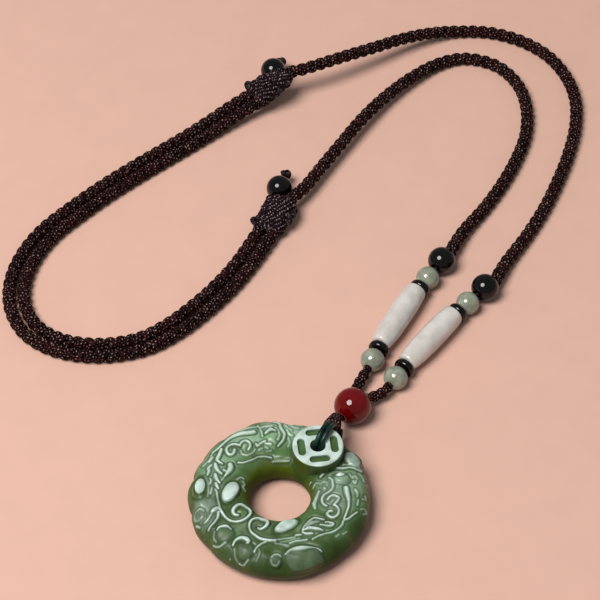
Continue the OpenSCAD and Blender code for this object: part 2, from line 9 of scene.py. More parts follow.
import bpy
import numpy as np
from bpy.props import FloatProperty, PointerProperty, StringProperty
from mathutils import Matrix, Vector


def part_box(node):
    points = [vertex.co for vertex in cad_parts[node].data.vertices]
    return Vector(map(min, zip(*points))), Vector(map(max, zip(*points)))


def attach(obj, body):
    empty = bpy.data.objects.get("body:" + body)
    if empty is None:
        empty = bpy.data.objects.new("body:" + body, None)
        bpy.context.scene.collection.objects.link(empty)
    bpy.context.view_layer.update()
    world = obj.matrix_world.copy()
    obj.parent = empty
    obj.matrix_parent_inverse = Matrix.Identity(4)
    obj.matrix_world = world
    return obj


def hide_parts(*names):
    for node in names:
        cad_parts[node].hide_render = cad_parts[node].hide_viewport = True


bl_info = {
    "name": "Jade ring pendant",
    "version": (1, 0, 0),
    "blender": (4, 5, 0),
    "location": "3D View > Sidebar > Jade pendant",
    "description": "Carves and strings a jade ring pendant on a beaded, braided neck cord",
    "category": "Object",
}

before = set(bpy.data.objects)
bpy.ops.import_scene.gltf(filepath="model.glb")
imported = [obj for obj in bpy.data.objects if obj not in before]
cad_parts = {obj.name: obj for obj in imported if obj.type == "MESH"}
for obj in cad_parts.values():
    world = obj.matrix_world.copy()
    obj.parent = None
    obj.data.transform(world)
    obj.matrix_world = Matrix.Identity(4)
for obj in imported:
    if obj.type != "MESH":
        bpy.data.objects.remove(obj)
MM = 0.001
RING_LOW, RING_HIGH = (np.array(corner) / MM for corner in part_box("jade_ring"))

# Places that repeat the part's source
RING_R = -RING_LOW[0]
HOLE_R = 8.3
FLOOR_Z = RING_LOW[2]
TOP_Z = -FLOOR_Z
COIN_TOP = RING_HIGH[2]
COIN_AT = 15.5 * np.array([np.cos(np.radians(48.7)), np.sin(np.radians(48.7))])
COIN_R, COIN_HOLE_R, COIN_BEVEL = 6.9, 2.1, 0.5
SLOT = {"length": 5.4, "width": 2.0, "depth": 0.9, "orbit": 4.4, "turn": 7}
GROOVE = {"width": 3.4, "depth": 2.0}
OUTER_ROUND, INNER_ROUND = 4.6, 4.0
# Steps of the ring's grid: columns round it, and millimetres along its section on the face and on the back
RING_COLUMNS, FACE_STEP, BACK_STEP = 740, 0.19, 1.3
# Columns round the coin, the red bead, the other beads and a thread, and the grid of a sliding knot
COIN_COLUMNS, RED_COLUMNS, BEAD_COLUMNS, THREAD_COLUMNS = 120, 96, 72, 12
WRAP_ROWS, WRAP_COLUMNS = 110, 120

LOOP_TURN = np.radians(61.3)
LOOP_EDGE = RING_R - 15.5
LOOP_DIR = np.array([np.cos(LOOP_TURN), np.sin(LOOP_TURN), 0])
LOOP_SIDE = np.array([np.sin(LOOP_TURN), -np.cos(LOOP_TURN), 0])
STRAND_D, STRAND_PITCH = 1.4, 1.45
# The hanging loop's strands, as [distance from the coin's middle, height]
LOOP_ROUTE = np.array([
    [LOOP_EDGE + 0.4, COIN_TOP - 0.95], [LOOP_EDGE - 1, COIN_TOP + 0.55], [5.5, COIN_TOP + 1.85],
    [3, COIN_TOP + 1.65], [1.2, COIN_TOP + 0.55], [0.3, COIN_TOP - 1.85], [0.2, FLOOR_Z + 4.65],
    [0.6, FLOOR_Z + 1.85], [1.9, FLOOR_Z + 0.85], [5, FLOOR_Z + 0.85], [LOOP_EDGE - 0.7, FLOOR_Z + 0.85],
    [LOOP_EDGE + 1.5, FLOOR_Z + 1.55], [LOOP_EDGE + 2.7, FLOOR_Z + 3.45], [LOOP_EDGE + 3, COIN_TOP - 6.8],
])
HANG_AT = COIN_AT + LOOP_EDGE * LOOP_DIR[:2]
RED_D, GREEN_D, BLACK_D, SPACER_D, SPACER_T = 10.4, 6.8, 8.0, 6.1, 2.0
# How far a spacer's rim and a bead's end edge are rounded
SPACER_RIM, HOLE_EDGE = 0.7, 0.2
# A barrel's length and middle, for each end its diameter and the power by which it swells from there, and how
# far its ends are softened
BARREL = {"length": 23.0, "middle": 7.2, "low": (5.3, 2.8), "high": (6.2, 3.6), "soft": 0.45}
DRILL_D, THREAD_D, END_BEAD_D, STOPPER_D = 2.2, 1.0, 7.8, 3.6
# A tail's thickness at both ends, the place along its knot where it starts and how far it runs into its bead
TAIL_D, TAIL_TIP_D, TAIL_FROM, TAIL_SUNK = 3.0, 1.4, -0.85, 0.4
# A stopper's trefoil: its radius, its swing from there, its height to both sides and its cord's radius
TREFOIL = {"radius": 0.82, "swing": 0.36, "height": 0.55, "cord": 0.6}
RED_AT = np.array([*(HANG_AT + [5.6, 11.7]), FLOOR_Z + RED_D / 2])
RED_TURN = np.radians(52)
GAP, STAND = 0.15, 0.375
# The wound knot on the hanging loop: its start, its way out of the red bead, its radius at both ends and the
# distance from the bead at which it ends
KNOT_FROM = np.array([*HANG_AT, COIN_TOP - 1.2]) - 0.7 * LOOP_DIR
KNOT_OUT, KNOT_RADII, KNOT_END = [-0.70, -0.70, 0.16], (2.5, 1.5), 1.3
# A leg's first bead, its heading there and the radius of its arc
LEGS = {"left": ([11.45, 29.3], 66, 210), "right": ([17.8, 22.9], 56.5, 210)}
LEG_LOW, LEG_HIGH, THREAD_H = -3.4, 46.25, 3.6
# The two short braids: the way out of the red bead, and places [x, y, lift] on the floor
BRAIDS = {
    "left": ([1.1, 5.6, -1.4], [[7, 20.2, 1.4], [8.5, 23, 1.7]]),
    "right": ([4.6, 4.3, -1.4], [[12.5, 17.1, 1.3], [14.5, 18.3, 1.7]]),
}
BRAID_D, BRAID_PITCH = 3.2, 5.0
# Shares of a short braid's length, and its thickness there
BRAID_TAPER = ([0, 0.25, 0.8, 1], [0.8, 1, 1, 0.85])
# A strand's distance from its cord's middle, its swing in and out, its half width and its half thickness, as
# shares of the cord's radius
STRAND_OUT, STRAND_SWING, STRAND_WIDE, STRAND_THIN = 0.57, 0.15, 0.54, 0.29
# Strands cross at the side of a cord that runs along Y, and this far above it where a cord runs along X
CROSSING_TILT = np.radians(40)

# Routes on the floor as [x, y, lift above lying], measured from where the hanging loop leaves the ring
OUTER_LEAD = [
    [51.6, 66.7, 0.6], [58.1, 77.2, 0], [64.1, 88.2, 0], [69.1, 99.7, 0], [73.1, 110.7, 0],
    [76.1, 122.2, 0], [77.1, 133.7, 0], [75.1, 144.2, 0], [70.1, 153.7, 0], [62.1, 160.7, 0],
    [52.1, 164.7, 0], [41.6, 165, 0.2], [32.6, 161.9, 2.3], [23.6, 157.3, 4.2], [14.6, 151.7, 5.8],
    [5.1, 146, 7.4], [-2.9, 141.7, 8.1], [-7.9, 139.6, 8],
]
INNER_LEAD = [
    [39.6, 78.7, 0.6], [46.1, 88.2, 0], [52.1, 98.2, 0], [57.1, 108.7, 0], [60.6, 119.2, 0],
    [61.6, 130.2, 0], [59.6, 140.7, 0], [53.6, 149.2, 0], [44.1, 152.7, 0], [35.1, 150, 0.4],
    [26.1, 142.7, 1.3], [17.6, 133.4, 2], [10.2, 123.2, 2.6], [3.1, 112, 2.4], [-2.9, 102.3, 2.3],
    [-7.4, 94.7, 2.5],
]
DOUBLE_RUN = [
    [-28.9, 127.7, 2.1], [-34.9, 123.1, 0.9], [-41.9, 117.4, 0.1], [-49.4, 111.2, 0], [-58.4, 103.7, 0],
    [-67.4, 95.7, 0], [-75.9, 87.2, 0], [-83.4, 78.7, 0], [-88.4, 69.7, 0], [-90.9, 60.2, 0],
    [-90.4, 50.7, 0], [-86.4, 42.2, 0], [-79.4, 36.7, 0], [-70.9, 34.2, 0], [-61.9, 34.2, 0],
    [-52.9, 36.7, 0], [-44.9, 42.2, 0], [-37.4, 49.7, 0], [-30.9, 57.7, 0], [-25.4, 66.2, 0],
]
# A sliding knot's middle, turn, lift of its near end, climb, its end bead's place and where its tail leaves
KNOTS = {
    "back": {"at": [-18.5, 135.7], "turn": 40.5, "lift": 2.4, "rise": 4.2,
             "bead": [6.3, 5.6, 5.2], "out": -0.5},
    "front": {"at": [-16.3, 84], "turn": 65.5, "lift": 0, "rise": 2.1,
              "bead": [10.3, 3.4, 3.9], "out": 5.6},
}
CORD_PITCH, WRAP_H, WRAP_L = 4.3, 5.8, 12.2
# Places along a sliding knot of the cord that passes through it and of the cord that ends in it
THROUGH, INTO = [6.7, 2.2, -2.2, -6.7], [-6.7, -3.8, -1.0]
# The wound band's radius where the tail leaves it. Where it leaves before EARLY, the band closes beyond it
TAIL_BAND_R, EARLY = 2.55, 5
# How deep a sliding knot's turns and its plait are drawn in, how often the plait goes round, and the length
# and the share by which the knot's ends are rounded
TURN_DEPTH, PLAIT_DEPTH, PLAIT_ROUNDS, END_LENGTH, END_SHARE = 0.36, 0.26, 7, 1.1, 0.22
# Loops of winding cord at a sliding knot's side, as (place along, side, reach, lift), with their half width,
# their cord's radius, how deep they start in the knot, what they reach beyond that and their rise
SIDE_LOOPS = [(-4.6, 1, 0.9, 0.4), (-1.2, -1, 1.0, 0.2), (0.9, -1, 1.1, 0.6), (3.1, -1, 0.8, -0.3)]
SIDE_LOOP_HALF, SIDE_LOOP_R, SIDE_LOOP_SUNK, SIDE_LOOP_OUT, SIDE_LOOP_RISE = 0.85, 0.75, 1.3, 0.6, 0.5

# The stage in metres: the floor, the round key light up and to the left, the room's light and the camera
FLOOR_HALF, FLOOR_DROP = 8.0, 0.00002
AIM = Vector((0.008, 0.08, 0.0))
KEY = {"way": (-0.378, -0.271, 0.885), "size": 0.62, "power": 15.0, "colour": (1.0, 0.98, 0.95)}
ROOM = {"colour": (0.95, 0.97, 1.0, 1), "strength": 0.25}
CAMERA = {"at": (0.00546, -0.33642, 0.48324), "tilt": np.radians(40), "lens": 132, "sensor": 36}

# Carved lines as (widths at even steps along it, height, paleness of the painted highlight on its top, places
# on the face)
CARVED_LINES = [
    # upper left beast: spine and back, head, eye, chin, cheek curls
    ((0.4, 0.4, 0.5, 1.2, 1.6, 1.3), 1, 1, [(-18, 12.2), (-16, 14), (-13.8, 16.5), (-12.2, 17.6),
     (-10.3, 18.2), (-8.1, 18.4), (-7, 18.6)]),
    ((0.3, 0.5, 0.5, 0.4), 0.7, 0.7, [(-11.9, 20), (-9.8, 20.3), (-7.8, 20.7), (-6.5, 21)]),
    ((0.4, 0.5), 0.7, 0.7, [(-6.1, 21.3), (-5.4, 20.3), (-4.3, 20.6), (-2.1, 20.8)]),
    ((0.5, 1.2, 1.4), 1, 1, [(-3.9, 18), (-3.2, 18.7), (-2.5, 19.4)]),
    ((1.3, 0.9, 0.5), 1, 1, [(-2.5, 19.2), (-1.8, 19.1), (-1.2, 19)]),
    ((0.4, 0.5, 0.8, 0.7, 0.6, 0.4), 1, 0.9, [(-1.8, 23.2), (-0.9, 22.7), (0, 21.7), (0.2, 20.2),
     (0.9, 18.8), (1.3, 17.8), (1, 16.1), (0.3, 15), (-0.4, 14.1)]),
    ((0.4, 0.4), 0.7, 0.6, [(-5.4, 20), (-4.8, 18.3), (-4.7, 17.3)]),
    ((0.3, 0.3), 0.6, 0.5, [(-1, 20.1), (-0.3, 19), (0, 17.7), (-0.4, 16)]),
    ((0.4, 0.5, 0.5), 0.8, 0.8, [(-6.4, 14.8), (-5.9, 14.2), (-5, 15), (-3.9, 15.6)]),
    ((0.4, 0.3), 0.6, 0.5, [(-3.9, 15), (-2.3, 14.7)]),
    ((0.3, 0.3), 0.5, 0.5, [(-5.5, 12.9), (-4.7, 13.4)]),
    ((0.3, 0.3), 0.5, 0.5, [(-3.9, 14), (-3.1, 13.4)]),
    ((0.3, 0.3), 0.5, 0.4, [(-3.4, 12.4), (-2.2, 12.6)]),
    ((0.5, 0.5, 0.6, 0.7, 0.7, 0.8), 0.9, 0.95, [(-10.7, 14), (-12.1, 14.4), (-13.4, 14.1), (-14.3, 12.9),
     (-13.9, 11.6), (-13.1, 11.2), (-12.3, 11.8), (-12.1, 12.7)]),
    ((0.4, 0.6, 0.6, 0.4), 0.9, 0.9, [(-10.7, 14), (-10.2, 15), (-9.1, 15.6), (-8.1, 15), (-7.9, 14),
     (-8.4, 13.1)]),
    ((0.4, 0.4, 0.3), 0.6, 0.45, [(-10.4, 12.6), (-10, 11.5), (-8.5, 11.2), (-7.3, 11.9), (-6.6, 13)]),
    ((0.4, 0.5, 0.4, 0.5, 0.4), 0.8, 0.8, [(-11, 8.7), (-9.8, 8.6), (-8.5, 9), (-6.8, 9.8), (-5.7, 10.5),
     (-4.1, 10.6), (-2.2, 10.4)]),
    ((0.3, 0.4), 0.5, 0.4, [(-1.7, 9.6), (0.2, 9.7), (2.6, 9.6)]),
    # upper left beast: mane and flank
    ((0.8, 1, 0.9, 0.3), 1, 1, [(-15.7, 13), (-16.2, 11.1), (-16.7, 9.4), (-15.3, 8.3)]),
    ((0.8, 1.2, 0.9, 0.3), 1, 1, [(-17.2, 8.2), (-16.9, 6.9), (-16.2, 5.7), (-15.4, 4.9)]),
    ((0.8, 1.1, 0.8, 0.3), 1, 1, [(-17.1, 4.8), (-16.8, 3.5), (-16.2, 2.4), (-15.8, 2)]),
    ((0.6, 0.9, 0.4), 1, 1, [(-16.9, 1.9), (-16.5, 0.8), (-16.2, 0.2)]),
    ((0.4, 0.4, 0.5), 0.9, 0.8, [(-17, 0), (-16.6, -0.9), (-16.3, -3.1), (-15.9, -4.8), (-15.6, -6)]),
    ((0.4, 0.9, 0.3), 0.9, 0.9, [(-17.9, 10.5), (-18.4, 9.7), (-18.9, 9)]),
    ((0.4, 0.8, 0.8, 0.4), 0.9, 0.9, [(-18.2, 7.9), (-19, 6.8), (-18.8, 5.8), (-19.2, 4.6)]),
    ((0.4, 0.6, 0.3), 0.8, 0.8, [(-18.4, 3.4), (-18.2, 2.6), (-18.4, 1.8)]),
    ((0.4, 0.5, 0.3), 0.8, 0.7, [(-17.9, 0.4), (-18, -0.5), (-18.2, -1.4)]),
    ((0.3, 0.3), 0.6, 0.4, [(-19.8, 4.2), (-19, 2.2), (-18.8, 0), (-18.9, -2.4)]),
    ((0.3, 0.4), 0.6, 0.5, [(-20.5, 7.8), (-18.8, 9.9), (-18, 12.2)]),
    ((1.5, 1.7, 1.2, 0.4), 1, 1, [(-13.2, 7.9), (-13, 6.9), (-13.6, 5.6), (-14.4, 4.3)]),
    ((0.4, 0.3), 0.7, 0.5, [(-14.4, 4.3), (-15.3, 3.1)]),
    ((0.4, 0.5, 0.4), 0.7, 0.7, [(-14.9, 6.4), (-14.3, 5.8), (-13.9, 5.2)]),
    ((0.3, 0.4), 0.5, 0.5, [(-11.2, 3.2), (-10.3, 3.9), (-9.5, 3.7)]),
    ((0.4, 0.3), 0.5, 0.5, [(-9.8, 2.9), (-9.2, 2.1), (-9.7, 1.3), (-9, 0.4)]),
    # front: the star where the stems part, cloud curls and their pearls
    ((0.9, 1.7, 1.5, 0.9), 1, 1, [(-17.6, -7.2), (-16.9, -6.6), (-16.5, -6.3), (-15.7, -6)]),
    ((1, 0.6, 0.6, 0.7, 0.8, 1, 1.2, 0.7), 1, 1, [(-15.5, -6.5), (-14.8, -7.8), (-13.8, -9.2),
     (-12.4, -10.1), (-10.8, -10.3), (-9.3, -9.9), (-8.1, -8.8), (-7.5, -7.4), (-7.9, -6.1), (-9, -5.3),
     (-10.2, -5), (-11.4, -5.6), (-12.1, -6.5), (-12.1, -7.4), (-11.6, -8), (-10.8, -8.2)]),
    ((0.8, 0.6, 0.5, 0.3), 0.9, 0.95, [(-16, -7.4), (-16.1, -9), (-16.9, -10.6), (-18, -11.8),
     (-18.5, -12.6)]),
    ((0.5, 0.4, 0.3), 0.8, 0.7, [(-17.8, -7.9), (-18.6, -9.5), (-19.6, -10.3)]),
    ((0.3, 0.6, 0.5), 0.8, 0.7, [(-22.1, -6.6), (-20.9, -6.1), (-19.9, -6.8)]),
    ((0.3, 0.3), 0.6, 0.4, [(-22.1, -6.6), (-22.3, -8.4), (-21.4, -9.4), (-20.2, -8.7), (-20.4, -7.7)]),
    ((0.5, 0.4), 0.8, 0.7, [(-22, -10.1), (-20.9, -10.9)]),
    ((0.4, 0.5, 0.3), 0.8, 0.8, [(-21.4, -13.7), (-20.6, -14.7), (-19.9, -16)]),
    ((0.9, 0.5), 0.8, 0.7, [(-20.4, -14.2), (-19.7, -14)]),
    ((0.3, 0.9, 1.1, 0.9, 0.3), 1, 1, [(-16.2, -13), (-15.6, -12.2), (-14.5, -11.9), (-13.4, -12),
     (-12.5, -12.9)]),
    ((0.3, 0.4, 0.3), 0.7, 0.6, [(-17.2, -16.4), (-16.3, -17), (-15.4, -17.2), (-13.9, -16.7)]),
    ((0.3, 0.3), 0.6, 0.4, [(-16.9, -13.2), (-17.1, -14.8), (-16.4, -15.9)]),
    ((0.3, 0.7, 1.2, 1.7, 0.9), 1, 1, [(-12, -17.6), (-11.3, -16.3), (-10, -15.6), (-8.8, -15.7),
     (-8, -16.5), (-8.2, -17.2)]),
    ((0.3, 0.5, 0.3), 0.7, 0.6, [(-10.4, -21.6), (-9.3, -22.2), (-7.9, -21.5)]),
    ((0.3, 0.3), 0.6, 0.35, [(-11.6, -18.6), (-11.4, -20.2), (-10.8, -21.2)]),
    ((0.8, 0.9, 0.7, 0.6, 0.6, 0.6, 0.7, 1.2, 0.9, 0.4), 1, 1, [(-0.9, -16.3), (-2.6, -16.3), (-3.7, -16),
     (-5, -15.6), (-6.3, -14.6), (-7.4, -13.4), (-7.8, -11.8), (-7.5, -10.4), (-6.6, -9.4), (-5.3, -9.1),
     (-3.8, -9.6), (-3, -10.4), (-3.2, -11.5), (-3.9, -12.2), (-4.8, -12.5), (-5.5, -12.2)]),
    ((0.7, 0.5, 0.3), 0.9, 0.9, [(-3.4, -16.7), (-4.7, -17.5), (-5.8, -18.5), (-6.4, -19.8)]),
    ((0.3, 0.3), 0.5, 0.3, [(-5.2, -18.9), (-5, -20.4), (-5.9, -22)]),
    ((0.3, 0.5, 0.4), 0.8, 0.65, [(-1.9, -21.3), (-1.3, -20.7), (-0.2, -20.6), (0.5, -21.1)]),
    ((0.3, 0.3), 0.5, 0.3, [(-2.1, -21.8), (-1.7, -23), (-0.5, -23.2), (0.2, -22.4)]),
    ((0.4, 0.4), 0.7, 0.5, [(-15.2, -20.7), (-14, -20.9)]),
    ((0.3, 0.8, 0.4), 0.8, 0.7, [(-13.6, -21.2), (-13, -21.4), (-12.8, -20.4)]),
    # the big leaf's cap, the feathers and the stems beside them
    ((0.3, 1, 2, 2.1, 1, 0.4, 0.3), 1, 1, [(1.7, -20.6), (3, -19.5), (4.6, -19.1), (6.4, -18.9),
     (8.2, -18.6), (10, -18.7), (11, -19.2)]),
    ((0.3, 0.5, 0.5, 0.3), 1, 0.9, [(6.1, -13.2), (6.8, -11.7), (8.1, -10.1), (9.2, -9.3), (10.2, -9.4),
     (11.8, -9.8)]),
    ((0.8, 1.5, 0.5), 0.8, 0.55, [(7.3, -12.1), (8.6, -10.9), (10.4, -10.5)]),
    ((0.3, 1.1, 1.1, 0.3), 1, 1, [(6.4, -13.2), (8, -12.6), (9.8, -12.8), (11.4, -13.2)]),
    ((0.3, 0.8, 0.6, 0.4), 1, 0.9, [(10.8, -11.6), (12.1, -11.8), (13.6, -11.7), (14.2, -11), (13.1, -10.6),
     (12.2, -10.6)]),
    ((0.4, 0.7, 0.5), 0.9, 0.9, [(6.1, -13.7), (7.1, -14.2), (8.7, -14.2)]),
    ((0.5, 0.7, 0.4), 0.8, 0.9, [(4.3, -14.7), (5, -14.6), (5.8, -14.5)]),
    ((0.3, 0.3), 0.6, 0.6, [(-1.1, -16.1), (0.5, -15.9), (2.3, -15.6), (4.2, -15.3)]),
    ((0.3, 0.5, 0.3), 0.7, 0.8, [(2.8, -17.1), (4.7, -16.5), (7.3, -16)]),
    ((0.3, 0.3), 0.5, 0.4, [(-1, -17.1), (1.5, -17.6), (2.6, -17.8)]),
    ((0.3, 0.3), 0.5, 0.35, [(0.4, -16.8), (3, -16.2), (5.4, -15.6)]),
    # right beast: brow, eye, nose, cheek curls, jaw and the long tail
    ((0.5, 0.6, 0.6, 0.5, 0.5, 0.4), 1, 0.9, [(10.9, 3.9), (12, 5.2), (13.3, 6.3), (14.9, 6.8), (17.1, 6.7),
     (18.7, 7), (20.3, 6.8), (21.9, 6.4)]),
    ((0.3, 0.3), 0.6, 0.5, [(17, 7.9), (18.9, 8), (20.6, 7.7), (22, 7.2)]),
    ((0.5, 0.6, 0.6, 0.5), 0.9, 0.85, [(13.2, 3.6), (13.9, 2.9), (14.2, 1.3), (14, -0.3), (12.9, -1.5),
     (12, -2.1), (11.3, -3.2), (11.3, -4.3), (11.8, -5.3), (12.5, -5.7)]),
    ((0.5, 0.7, 0.7, 0.6), 0.9, 0.95, [(12.8, -3.8), (13.4, -2.9), (14.4, -2.5), (15.5, -2.9), (15.7, -3.6),
     (15.2, -4.5), (14.4, -5.4)]),
    ((0.6, 0.6, 0.7, 0.9, 0.6), 0.9, 1, [(14.4, -5.4), (15.3, -6), (15.7, -7.1), (15.3, -8.4), (14.1, -9.2),
     (13.1, -8.8), (12.6, -8.1), (13.1, -7.3), (13.9, -7.3)]),
    ((1.5, 1.5, 0.8, 0.5, 0.4, 0.3), 1, 1, [(17.7, 0.1), (17.9, -1.4), (18.3, -3.5), (18.3, -5.5),
     (17.9, -7.1), (17, -9.6)]),
    ((0.5, 1, 1.4, 0.6), 0.6, 0.8, [(10.5, -0.6), (9.8, -2.4), (9.2, -4.4), (9.4, -6)]),
    ((0.6, 0.8, 0.3), 0.7, 0.7, [(6.9, 3.5), (7.4, 2.9), (8.3, 3.3)]),
    ((0.4, 0.4), 0.5, 0.4, [(8.9, 1.2), (9.6, 2.3), (10.6, 2)]),
    ((0.6, 0.6), 0.6, 0.8, [(11.9, 0.1), (12.1, -0.1)]),
    ((0.3, 0.3), 0.5, 0.4, [(10.9, 1.6), (11.6, 2.4), (12.5, 2.1), (12.7, 0.9)]),
    ((0.3, 0.5, 0.5, 0.4, 0.4), 0.9, 0.8, [(20.5, -7.1), (19.5, -8.1), (18.4, -9.2), (17.3, -9.8),
     (16.8, -10.3), (16.6, -11.2), (15.8, -12.3), (14.7, -13.2), (13.4, -13.9), (12.1, -14.2),
     (10.5, -14.8), (8.8, -15.9)]),
    ((0.3, 0.3), 0.6, 0.5, [(18.6, 4.9), (19.4, 3.7), (20.1, 4.4), (20.7, 3.3)]),
    ((0.3, 0.4), 0.6, 0.6, [(19.5, 2.6), (20.1, 1.8), (20.4, 2.6)]),
    ((0.3, 0.3), 0.6, 0.5, [(21.2, 5.4), (22.1, 4.4), (22.5, 3)]),
    ((0.3, 0.4), 0.6, 0.6, [(20.1, -0.2), (20.7, -1.2), (20.6, -2.4)]),
    ((0.4, 0.4), 0.6, 0.6, [(20.9, -3.4), (20.6, -4.9)]),
    ((0.3, 0.4, 0.3), 0.6, 0.5, [(21.6, -5.9), (22.5, -5.5), (23, -6.4), (22.2, -7)]),
    ((0.3, 0.3), 0.6, 0.5, [(22, -2.8), (22.9, -2.5), (22.8, -1.6)]),
    ((0.3, 0.4), 0.5, 0.4, [(15.6, -14.2), (14.9, -14.9)]),
    ((0.3, 0.4), 0.5, 0.4, [(17.7, -13.2), (16.8, -14)]),
    # hair between the head and the coin
    ((0.3, 0.4, 0.3), 0.6, 0.55, [(1.4, 21.7), (2.1, 20.3), (3.2, 19.5)]),
    ((0.3, 0.4, 0.3), 0.6, 0.55, [(2.6, 21.9), (3.6, 20.8), (5, 20.2)]),
    ((0.3, 0.4, 0.3), 0.6, 0.5, [(4, 22.2), (5, 21.6), (6, 21.4)]),
    ((0.3, 0.4, 0.3), 0.6, 0.5, [(1.9, 19.6), (2.5, 18.3), (3.4, 17.7)]),
    ((0.3, 0.3), 0.5, 0.4, [(2.2, 16.9), (2.7, 15.4), (2.3, 14)]),
]
# A line is cut at this share of its width, and no finer than the ring's grid can hold
LINE_SHARE, FINEST_LINE = 0.84, 0.36
# How far a line's side, skirt and painted pale top reach from its edge, and its groove's middle and half
# width
SIDE_REACH, SKIRT_REACH, PALE_REACH, CUT_AT, CUT_HALF = 0.26, 0.95, 0.11, 0.38, 0.22
# In relief depths: a line's least height, what a millimetre of half width adds and the most it comes to, a
# skirt's height, a cut's depth and the height of the burr's waves
RIDGE_LEAST, RIDGE_SLOPE, RIDGE_MOST, SKIRT_HIGH, CUT_DEEP, WAVE_HIGH = 0.13, 0.42, 0.42, 0.16, 0.35, 0.05
# The cut round a boss: its middle as a share of the boss's edge, its half width and its strength
RIM_AT, RIM_HALF, RIM_CUT = 1.12, 0.35, 0.8
# Bosses as (middle, half length, half width, turn, height, paleness of the painted highlight, flatness of the
# top)
CARVED_BOSSES = [
    ((-21.1, 0.6), 3.4, 2, 88, 0.9, 0, 0.5),
    ((-21.1, 0.8), 2.6, 1.4, 88, 0.95, 1, 1),
    ((-12.9, -0.9), 3.6, 2.1, 66, 0.8, 1, 1),
    ((1.9, -11.5), 3.5, 1.7, 30, 0.8, 1, 1),
    ((6.8, -21.6), 5.4, 3.7, -3, 1.1, 0.08, 0.2),
    ((16.2, 4.5), 1.4, 0.8, 8, 1.15, 0.95, 0.6),
    ((16.5, 3.3), 2.3, 1.9, 0, 1, 0.12, 0.2),
    ((19.4, 9.9), 3, 1.9, -55, 0.7, 0.5, 1),
    ((-14.2, -14.3), 2.5, 2.4, 0, 0.7, 0.06, 0.2),
    ((-8.8, -19.2), 2.4, 2.4, 0, 0.7, 0.06, 0.2),
    ((-0.7, -22.2), 1.7, 1.5, 0, 0.6, 0.06, 0.2),
    ((-21.2, -8.2), 2, 2.2, 0, 0.5, 0.05, 0.2),
]
# Soft swellings of the bodies under the lines, as (middle, half length, half width, turn, height)
BODY_SWELLS = [
    ((-2, 17.6), 4.6, 4.4, 0, 0.75), ((-10.4, 15.6), 7.5, 4.2, 24, 0.6), ((14.8, -2.4), 7, 8.5, 0, 0.75),
    ((-21, -3.4), 2.6, 3.2, 0, 0.5), ((-12.9, -1), 4.6, 5.2, 0, 0.3), ((-2.3, 16.4), 2.4, 1.6, 0, 0.4),
    ((-12.8, -8), 4.4, 3.6, 0, -0.35), ((-5.6, -12), 3.4, 3.6, 0, -0.3), ((9.5, -12), 5, 3, 20, 0.4),
    ((-9.4, 12.9), 2.2, 1.7, 0, -0.5), ((21.5, 1), 2.6, 5, 0, 0.4), ((-12, -11.6), 1.6, 1.2, 0, -0.5),
]
# The side wall's lumps and dips round the ring, as (turn in degrees, width in degrees, size)
SIDE_SWELLS = [
    (104, 9, 0.9), (27, 7, 0.7), (82, 5, -0.5), (138, 4, 0.3), (151, 4, -0.3), (167, 3, -0.5), (178, 6, 0.35),
    (192, 3, -0.5), (205, 5, 0.2), (219, 4, -0.3), (283, 9, 0.3), (312, 6, -0.3), (343, 8, 0.2),
]
# Broad soft sheens where the bodies catch the light, as (middle, half length, half width, turn, paleness)
SHEENS = [
    ((15.2, -1), 6.5, 9, 0, 0.36), ((-17.4, 4), 3.2, 10, 0, 0.28), ((-9, 16.8), 7, 3, 24, 0.24),
    ((1, 20.6), 7, 4.4, 0, 0.36), ((9, -12.6), 6, 3.2, 20, 0.22), ((-19.4, -7), 4.5, 6, 0, 0.34),
    ((-12, 12.6), 4.5, 3, 0, 0.12), ((-8, -11.5), 8, 5, 0, 0.12), ((21, 2), 3, 8, 0, 0.2),
]
# A painted light green sheen where the bodies catch the light, and painted shade on the lower and right side,
# in the same way
GREEN_SHEENS = [
    ((-16, 9), 9.5, 6.5, 60, 0.38), ((-7, 17), 9.5, 6.5, 22, 0.44), ((0.5, 19.5), 8, 6.5, -10, 0.56),
    ((17, 4.5), 7, 5, -70, 0.26),
]
SHADES = [
    ((-13, -19.5), 10, 5.6, -35, 0.62), ((-0.5, -24), 13, 6, 0, 0.95), ((15, -19), 10.5, 6, 38, 1),
    ((20.8, -11.6), 7.5, 4.2, 62, 0.9),
]


def travelled(points):
    """Length along a line of points, from the first one to each."""
    return np.r_[0, np.cumsum(np.linalg.norm(np.diff(points, axis=0), axis=1))]


def resampled(points, length, at):
    """Places on a line of points, by straight steps between them, at the given lengths along it."""
    return np.stack([np.interp(at, length, points[:, k]) for k in range(points.shape[1])], 1)


def even(points, step):
    """Places at even steps of length along the straight lines between the points."""
    points = np.asarray(points, float)
    length = travelled(points)
    return resampled(points, length, np.linspace(0, length[-1], max(2, int(round(length[-1] / step)) + 1)))


def flowing(points, step):
    """A smooth curve through the points, each span the cubic that leaves a point along the line between
    its neighbours, sampled at even steps of length."""
    p = np.asarray(points, float)
    a, b, c, d = np.vstack([p[:1], p[:-2]]), p[:-1], p[1:], np.vstack([p[2:], p[-1:]])
    t = np.linspace(0, 1, 24, endpoint=False)[None, :, None]
    a, b, c, d = (q[:, None, :] for q in (a, b, c, d))
    curve = b + t / 2 * (c - a + t * (2 * a - 5 * b + 4 * c - d + t * (3 * b - a - 3 * c + d)))
    return even(np.vstack([curve.reshape(-1, p.shape[1]), p[-1:]]), step)


def unit(v):
    """Vectors at a length of 1."""
    return v / np.linalg.norm(v, axis=-1, keepdims=True)


def smoothstep(low, high, x):
    """0 before low and 1 past high, with the cubic 3t^2 - 2t^3 between them. Low may be above high."""
    t = np.clip((x - low) / (high - low), 0, 1)
    return t * t * (3 - 2 * t)


def around(count):
    """Angles at even steps round a full turn."""
    return 2 * np.pi * np.arange(count) / count


